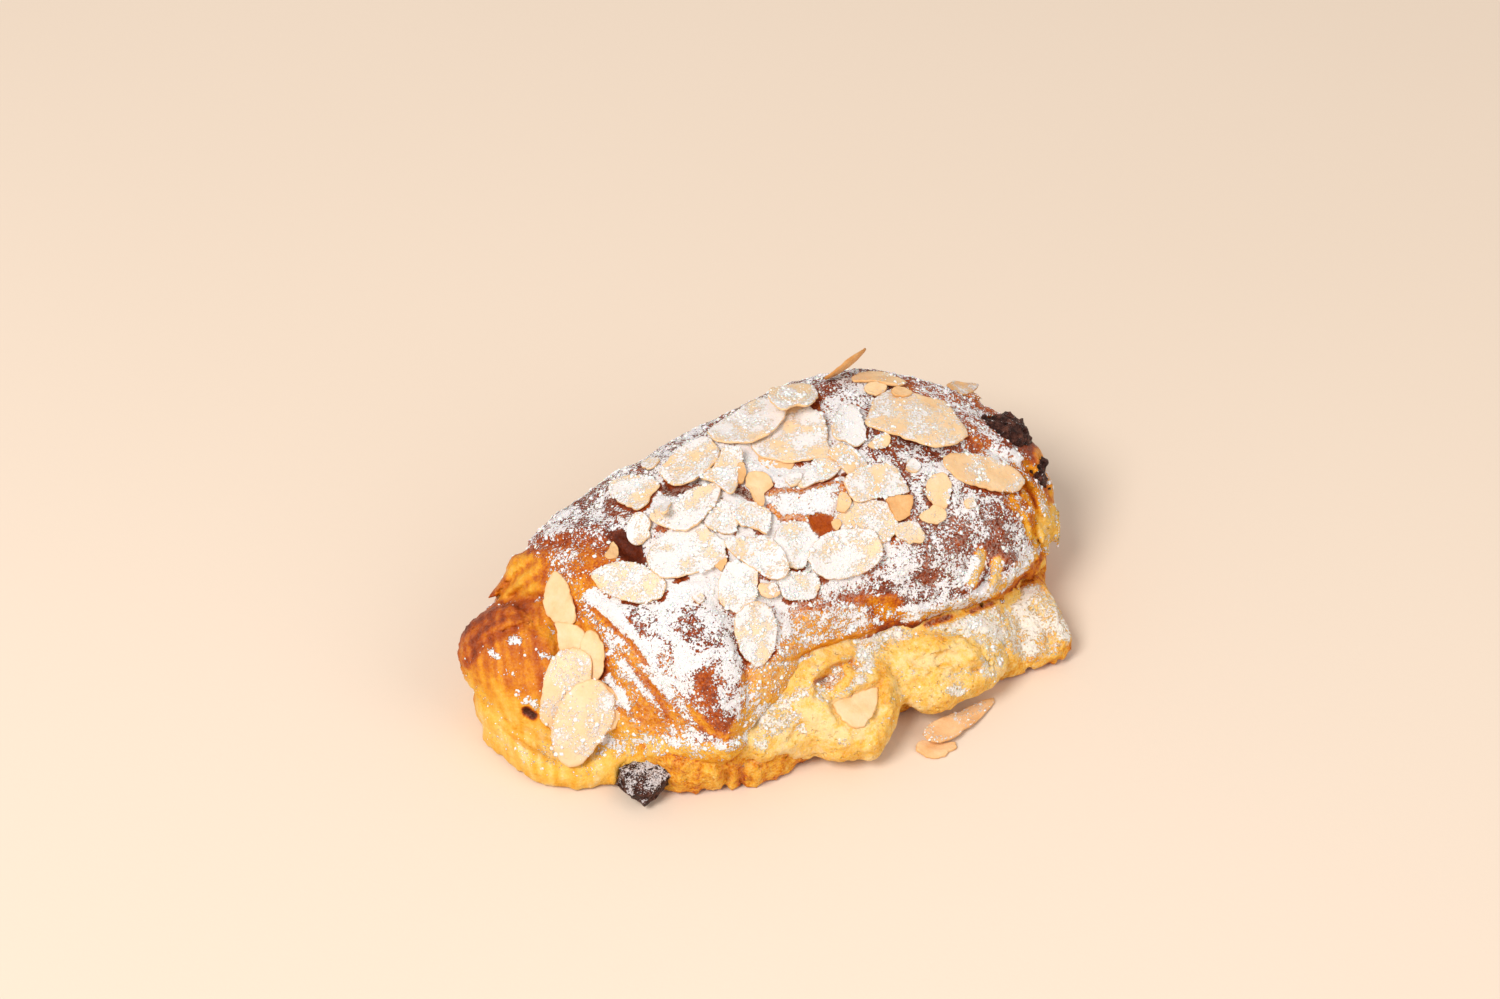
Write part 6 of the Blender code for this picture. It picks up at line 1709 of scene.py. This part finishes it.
# ------------------------------------------------------------------ chocolate sticks
STICKS = {
    "chocolate_front": ((-52.0, -21.5, 4.0), (67.5, -3.0, 27.3), CHOCOLATE_BIT),
    "chocolate_back": ((-64.0, 6.5, 9.5), (67.0, 3.5, 34.7), CHOCOLATE_BLOB),
}
for number, (node, (start, end, swollen)) in enumerate(STICKS.items()):
    a, b = np.array(start) + SHIFT, np.array(end) + SHIFT
    t = (b - a) / np.linalg.norm(b - a)
    side = np.cross((0, 0, 1.0), t)
    side /= np.linalg.norm(side)
    normal_way = np.cross(t, side)

    def stick_field(p, a=a, b=b, t=t, side=side, normal_way=normal_way, seed=90 + 7 * number, swollen=swollen):
        r = p - a
        s = r @ t
        length = np.linalg.norm(b - a)
        q = np.stack([abs(s - length / 2) - length / 2 + 2.4, abs(r @ side) - 4.75 + 2.4, abs(r @ normal_way) - 3.0 + 2.4], 1)
        d = np.linalg.norm(np.maximum(q, 0), axis=1) + np.minimum(q.max(1), 0) - 2.4
        # the end that stands out of the pastry melted and set again as a lumpy mass
        d = smin(d, blob(p, *swollen), 1.5)
        rough = step(10.0, 4.0, np.linalg.norm(p - swollen[0], axis=1))
        d = d - (0.35 + 0.75 * rough) * noise(p, 2.1, seed + 3) * 0.8
        return d - 0.6 * noise(p, 3.6, seed) - 0.50 * noise(p, 1.7, seed + 1) - (0.30 + 0.30 * rough) * noise(p, 1.0, seed + 2) - 0.1

    low = np.minimum(a, b) - 9
    high = np.maximum(a, b) + 9
    points, quads = surface(stick_field, low, high, 0.6)
    points[:, 2] = np.maximum(points[:, 2], 0.25)
    normal = normals_of(points, quads)
    sugar = np.clip((0.24 + 0.28 * step(-30, -44, points[:, 0])) * step(-0.4, 0.5, normal[:, 2]) + 0.16 * noise(points, 3.0, 97 + number), 0, 1)
    piece(node.replace("chocolate", "chocolate_stick"), points, quads, [node], [CHOCOLATE], {"sugar": sugar})

# ------------------------------------------------------------------ flaked almonds
STEP = 0.8
GRID_X = np.arange(-80.0, 85.0, STEP)
GRID_Y = np.arange(-52.0, 56.0, STEP)
support = np.full((len(GRID_X), len(GRID_Y)), -0.05)
for pts in (top_points, base_points, cream_points):
    gi = np.round((pts[:, 0] - GRID_X[0]) / STEP).astype(int)
    gj = np.round((pts[:, 1] - GRID_Y[0]) / STEP).astype(int)
    np.maximum.at(support, (gi, gj), pts[:, 2])
for _ in range(2):  # close the holes between points on steep sides
    around = np.stack([np.roll(support, (a, b), (0, 1)) for a in (-1, 0, 1) for b in (-1, 0, 1)])
    support = np.where((support < 0.5) & ((around > 0.5).sum(0) >= 5), np.median(around, axis=0), support)


def height_at(x, y):
    fx = np.clip((np.asarray(x) - GRID_X[0]) / STEP, 0, len(GRID_X) - 1.001)
    fy = np.clip((np.asarray(y) - GRID_Y[0]) / STEP, 0, len(GRID_Y) - 1.001)
    i, j = fx.astype(int), fy.astype(int)
    a, b = fx - i, fy - j
    return support[i, j] * (1 - a) * (1 - b) + support[i + 1, j] * a * (1 - b) + support[i, j + 1] * (1 - a) * b + support[i + 1, j + 1] * a * b


def flake_mesh(pl, seed, sugar, tone):
    """A flake on its plate: rounded edges, a slightly uneven face and a raised rim."""
    global support
    n, thick = len(pl.ou), THICK
    # rings: bottom centre out to the rim, over the rounded edge, and in across the top
    rings = [(0.45, 0.0, 0), (0.90, 0.0, 0), (0.975, 0.12, 0.7), (1.0, 0.40, 1.0), (0.997, 0.72, 1.0), (0.975, 0.93, 0.75), (0.94, 1.0, 0.35), (0.87, 1.0, 0.12), (0.76, 1.0, 0), (0.62, 1.0, 0), (0.46, 1.0, 0), (0.30, 1.0, 0), (0.15, 1.0, 0)]
    pts, rims, tops = [], [], []
    for k, z, rim in rings:
        u, v = pl.ou * k, pl.ov * k
        top_side = z >= 0.9
        w = np.full(n, (z - 0.5) * thick)
        if top_side:
            at = np.stack([u, v, np.full(n, seed * 3.1)], 1)
            w = w + 0.12 * noise(at, 3.4, 11) + 0.08 * noise(at, 1.3, 12) + 0.09 * np.exp(-(((k - 0.92) / 0.07) ** 2))
            w = w - 0.07 * np.exp(-((v / (0.11 * pl.width)) ** 2)) * (1 - k)
        pts.append(pl.points(u, v, w))
        rims.append(np.full(n, rim, float))
        tops.append(np.full(n, 1.0 if top_side else (0.35 if z > 0.5 else 0.0)))
    zero = np.zeros(1)
    pts = np.concatenate(pts + [pl.points(zero, zero, zero - thick / 2), pl.points(zero, zero, zero + thick / 2)])
    rims = np.concatenate(rims + [[0.0, 0.0]])
    tops = np.concatenate(tops + [[0.0, 1.0]])
    faces = []
    count = len(rings)
    for r in range(count - 1):
        for i in range(n):
            j = (i + 1) % n
            faces.append((r * n + i, r * n + j, (r + 1) * n + j, (r + 1) * n + i))
    low_c, top_c = count * n, count * n + 1
    for i in range(n):
        j = (i + 1) % n
        faces.append((i, low_c, j))
        faces.append(((count - 1) * n + i, (count - 1) * n + j, top_c))
    pts[:, 2] = np.maximum(pts[:, 2], 0.02)
    data = {
        "rim": rims * (0.35 + 0.9 * (0.5 + 0.5 * noise(pts, 2.6, 13))),
        "sugar": np.clip((sugar - 0.10 * step(0.4, 0.9, sugar)) * (0.92 + 0.5 * noise(pts, 4.5, 14)) * tops, 0, 1),
        "tone": np.full(len(pts), tone * (1 - 0.45 * sugar)) + 0.08 * noise(pts, 3.6, 15),
    }
    # the height field takes the flake's top, for what lies on it
    det = pl.u_dir[0] * pl.v_dir[1] - pl.u_dir[1] * pl.v_dir[0]
    if abs(det) > 0.2:
        gx, gy = np.meshgrid(GRID_X - pl.middle[0], GRID_Y - pl.middle[1], indexing="ij")
        gu = (gx * pl.v_dir[1] - gy * pl.v_dir[0]) / det
        gv = (gy * pl.u_dir[0] - gx * pl.u_dir[1]) / det
        inside = pl.reach(gu, gv) < 1.0 + 0.8 / pl.width
        top = pl.middle[2] + gu * pl.u_dir[2] + gv * pl.v_dir[2] + (thick / 2 + pl.curve(gu, gv)) / pl.normal[2]
        support = np.where(inside & (top < support + 6), np.maximum(support, top), support)
    return pts, faces, data


def joined(parts):
    """Several loose meshes as one."""
    pts, faces, data, start = [], [], {}, 0
    for p, f, d in parts:
        pts.append(p)
        faces += [tuple(i + start for i in face) for face in f]
        for key, values in d.items():
            data.setdefault(key, []).append(values)
        start += len(p)
    return np.concatenate(pts), faces, {k: np.concatenate(v) for k, v in data.items()}


flake_tops = []
for number, (node, (sugar, tone, *_edge)) in enumerate([*FLAKES.items(), *LOOSE_FLAKES.items()]):
    pts, faces, data = flake_mesh(PLATES[node], number * 1.3, sugar, tone)
    piece("almond_" + node, pts, faces, [node], [ALMOND], data)
    top = data["rim"] * 0 + (data["sugar"] > 0.3)
    flake_tops.append((pts, top > 0.5, PLATES[node].normal))

# smaller broken bits between the flakes: the flake they lie under or None, sugar, brownness, edge in the view
BITS = [
    (None, 0.10, 0.34, (612, 541), (617, 546), (619, 553), (617, 559), (608, 559), (604, 556), (608, 548)),
    (None, 0.45, 0.34, (757, 583), (778, 582), (781, 597), (760, 598)),
    (None, 0.30, 0.24, (917, 516), (925, 511), (934, 505), (944, 508), (947, 517), (941, 524), (932, 524), (922, 522)),
    (None, 0.55, 0.24, (893, 525), (904, 521), (917, 521), (924, 530), (925, 544), (912, 545), (900, 541), (894, 534)),
    ("flake_24", 0.12, 0.38, (756, 456), (770, 452), (786, 455), (797, 464), (792, 472), (781, 475), (769, 472), (760, 466)),
    (None, 0.06, 0.46, (737, 463), (744, 461), (746, 474), (743, 485), (738, 485)),
    (None, 0.25, 0.26, (863, 388), (868, 383), (878, 382), (886, 385), (887, 390), (883, 394), (874, 396), (866, 393)),
    (None, 0.20, 0.40, (889, 392), (896, 387), (906, 388), (914, 393), (906, 397), (895, 397)),
    (None, 0.78, 0.24, (633, 514), (645, 512), (651, 520), (650, 534), (647, 541), (638, 546), (631, 545), (626, 536), (628, 524)),
    (None, 0.22, 0.32, (840, 490), (848, 494), (851, 502), (850, 510), (843, 514), (836, 512), (838, 500)),
    (None, 0.10, 0.40, (830, 520), (838, 519), (842, 524), (838, 532), (832, 529)),
    (None, 0.10, 0.44, (713, 566), (720, 561), (727, 557), (727, 563), (722, 571), (716, 569)),
    ("flake_04", 0.15, 0.36, (592, 676), (606, 683), (617, 694), (622, 706), (621, 717), (616, 729), (605, 735), (594, 712)),
    (None, 0.50, 0.62, (945, 385), (956, 381), (967, 385), (981, 382), (976, 391), (965, 396), (953, 392)),
    (None, 0.84, 0.16, (783, 478), (793, 472), (803, 475), (800, 484), (790, 487)),
    (None, 0.80, 0.16, (661, 505), (672, 500), (668, 512), (660, 515)),
    (None, 0.70, 0.24, (640, 462), (652, 458), (662, 459), (655, 467), (644, 470)),
    (None, 0.86, 0.14, (690, 596), (700, 592), (706, 600), (697, 605)),
    (None, 0.66, 0.22, (905, 462), (915, 458), (922, 468), (914, 474), (906, 471)),
    (None, 0.70, 0.20, (962, 500), (972, 497), (978, 506), (968, 511)),
]
bits = []
for number, (over, sugar, tone, *edge) in enumerate(BITS):
    if over:
        pl = PLATES[over].lowered(THICK + 0.06)
    else:
        c = hit(*np.mean(edge, axis=0))
        half = 0.11 * np.ptp(edge, axis=0).max()
        su, sv = (g.ravel() for g in np.meshgrid(np.linspace(-half, half, 5), np.linspace(-half, half, 5)))
        h = height_at(c[0] + su, c[1] + sv)
        fit = np.linalg.lstsq(np.stack([np.ones_like(su), su, sv], 1), h, rcond=None)[0]
        nrm = np.array([-fit[1], -fit[2], 1.0])
        nrm /= np.linalg.norm(nrm)
        if nrm[2] < 0.5:
            nrm = np.array([*(nrm[:2] / np.linalg.norm(nrm[:2]) * 0.866), 0.5])
        u_dir = np.array([1.0, 0.0, 0.0]) - nrm * nrm[0]
        u_dir /= np.linalg.norm(u_dir)
        lift = min(np.quantile(h - (fit[0] + fit[1] * su + fit[2] * sv), 0.75), 0.8)
        pl = Plate(np.array([c[0], c[1], fit[0] + lift]) + nrm * (THICK / 2 - 0.1), u_dir, np.cross(nrm, u_dir), nrm, np.zeros(6), THICK)
    bits.append(flake_mesh(pl.trace(edge, 60 + number * 1.7, 40), 60 + number * 1.7, sugar, tone))
pts, faces, data = joined(bits)
piece("almond_bits", pts, faces, (), [ALMOND], data)

# ------------------------------------------------------------------ loose sugar
rng = np.random.default_rng(7)


def heaps(count, pts, weight, nrm, small, large, fine=False):
    """Little heaps of sugar on a surface, joined in one mesh: low rounded lumps, or plain grains."""
    chosen = rng.choice(len(pts), count, p=weight / weight.sum())
    if fine:
        shape = np.array([(1, 0, -0.1), (0, 1, 0.1), (-1, 0, -0.1), (0, -1, 0.1), (0.1, 0.1, 0.9), (0, 0, -0.5)], float)
        tris = np.array([(0, 1, 4), (1, 2, 4), (2, 3, 4), (3, 0, 4), (1, 0, 5), (2, 1, 5), (3, 2, 5), (0, 3, 5)])
    else:
        shape = np.array([(0, 0, 1.0)] + [(math.cos(a) * 0.72, math.sin(a) * 0.72, 0.62) for a in np.arange(6) * math.pi / 3] + [(math.cos(a + 0.5), math.sin(a + 0.5), -0.15) for a in np.arange(6) * math.pi / 3])
        tris = [(0, 1 + i, 1 + (i + 1) % 6) for i in range(6)]
        for i in range(6):
            j = (i + 1) % 6
            tris += [(1 + i, 7 + i, 1 + j), (1 + j, 7 + i, 7 + j)]
        tris += [(7, 8 + i + 1, 8 + i) for i in range(4)]
        tris = np.array(tris)
    m = len(shape)
    n = nrm[chosen]
    a = np.cross(n, (0.3, 0.2, 0.93))
    a /= np.linalg.norm(a, axis=1, keepdims=True)
    b = np.cross(n, a)
    size = (small + (large - small) * rng.random(count) ** 3)[:, None, None]
    s = shape[None] * size * (0.65 + 0.7 * rng.random((count, m, 1))) * np.stack([np.ones(count), 0.7 + 0.5 * rng.random(count), np.full(count, 0.62)], 1)[:, None, :]
    angle = rng.random(count) * math.pi
    e = a * np.cos(angle)[:, None] + b * np.sin(angle)[:, None]
    f = b * np.cos(angle)[:, None] - a * np.sin(angle)[:, None]
    # scattered a little off the mesh's own points
    move = (rng.random((count, 2)) - 0.5) * 0.5
    c = pts[chosen] + e * move[:, :1] + f * move[:, 1:] + n * 0.02
    verts = c[:, None] + s[..., :1] * e[:, None] + s[..., 1:2] * f[:, None] + s[..., 2:] * n[:, None]
    faces = tris[None] + (m * np.arange(count))[:, None, None]
    verts = verts.reshape(-1, 3)
    verts[:, 2] = np.maximum(verts[:, 2], 0.02)
    return verts, faces.reshape(-1, 3)


# sugar lies on the crust, on the cream and on the flakes' faces
lie_points = [top_points, cream_points] + [p[t] for p, t, _n in flake_tops]
lie_normals = [top_normal, cream_normal] + [np.tile(n, (t.sum(), 1)) for _p, t, n in flake_tops]
lie_sugar = [top_sugar, cream_sugar * 0.8] + [np.full(t.sum(), 0.62) for _p, t, _n in flake_tops]
lie_points, lie_normals, lie_sugar = np.concatenate(lie_points), np.concatenate(lie_normals), np.concatenate(lie_sugar)
covered = np.zeros(len(lie_points), bool)
for node, pl in PLATES.items():  # none under a flake
    i = near(lie_points, pl.middle[None], max(pl.length, pl.width) * 0.6)
    u, v, w = pl.local(lie_points[i])
    covered[i] |= (pl.reach(u, v) < 0.98) & (w - pl.curve(u, v) < 0.15)
weight = np.clip(lie_sugar - 0.16, 0, 1) ** 1.4 * (lie_normals[:, 2] > 0.05) * ~covered
clusters = 0.25 + step(-0.1, 0.5, noise(lie_points, 4.0, 401)) + 1.5 * step(0.2, 0.6, noise(lie_points, 1.8, 402))
verts, faces = heaps(5200, lie_points, weight * clusters, lie_normals, 0.14, 0.62)
piece("sugar_clumps", verts, faces, (), [POWDER])
verts, faces = heaps(20000, lie_points, weight * (0.4 + clusters), lie_normals, 0.10, 0.30, fine=True)
piece("sugar_grains", verts, faces, (), [POWDER])

# ------------------------------------------------------------------ floor, light, camera
floor_mesh = bpy.data.meshes.new("floor")
floor_mesh.from_pydata([(-3, -3, 0), (3, -3, 0), (3, 3, 0), (-3, 3, 0)], [], [(0, 1, 2, 3)])
floor = bpy.data.objects.new("floor", floor_mesh)
bpy.context.scene.collection.objects.link(floor)
s = Shader("paper_floor")
s.set(Base_Color=s.ramp(s.noise(400.0, 2.0, 0.5), ((0.3, (0.787, 0.652, 0.530)), (0.7, (0.812, 0.676, 0.554)))))
s.bsdf.inputs["Roughness"].default_value = 0.9
s.bsdf.inputs["Specular IOR Level"].default_value = 0.1
s.bump(s.noise(0.8, 3.0, 0.5), 0.02)
floor_mesh.materials.append(s.mat)
floor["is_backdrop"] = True

world = bpy.data.worlds.new("studio")
world.use_nodes = True
world.node_tree.nodes["Background"].inputs[0].default_value = (1.0, 0.965, 0.93, 1)
world.node_tree.nodes["Background"].inputs[1].default_value = 0.55
bpy.context.scene.world = world


def lamp(name, place, aim, size, power, colour):
    data = bpy.data.lights.new(name, "AREA")
    data.shape = "DISK"
    data.size = size
    data.energy = power
    data.color = colour
    obj = bpy.data.objects.new(name, data)
    obj.location = place
    obj.rotation_euler = (Vector(aim) - Vector(place)).to_track_quat("-Z", "Y").to_euler()
    bpy.context.scene.collection.objects.link(obj)
    return obj


lamp("softbox", (-0.85, -0.35, 1.15), (0, 0, 0), 0.6, 16.6, (1.0, 0.97, 0.93))
lamp("fill", (0.5, -1.0, 0.9), (0, 0, 0), 1.0, 3.8, (1.0, 0.97, 0.94))

camera_data = bpy.data.cameras.new("camera")
camera_data.lens = LENS
camera_data.sensor_width = SENSOR
camera = bpy.data.objects.new("camera", camera_data)
camera.location = EYE * MM
camera.rotation_euler = (Vector(AIM) - Vector(EYE)).to_track_quat("-Z", "Y").to_euler()
bpy.context.scene.collection.objects.link(camera)
bpy.context.scene.camera = camera
bpy.context.scene.view_settings.view_transform = "Standard"

bpy.context.view_layer.update()
low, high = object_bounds()
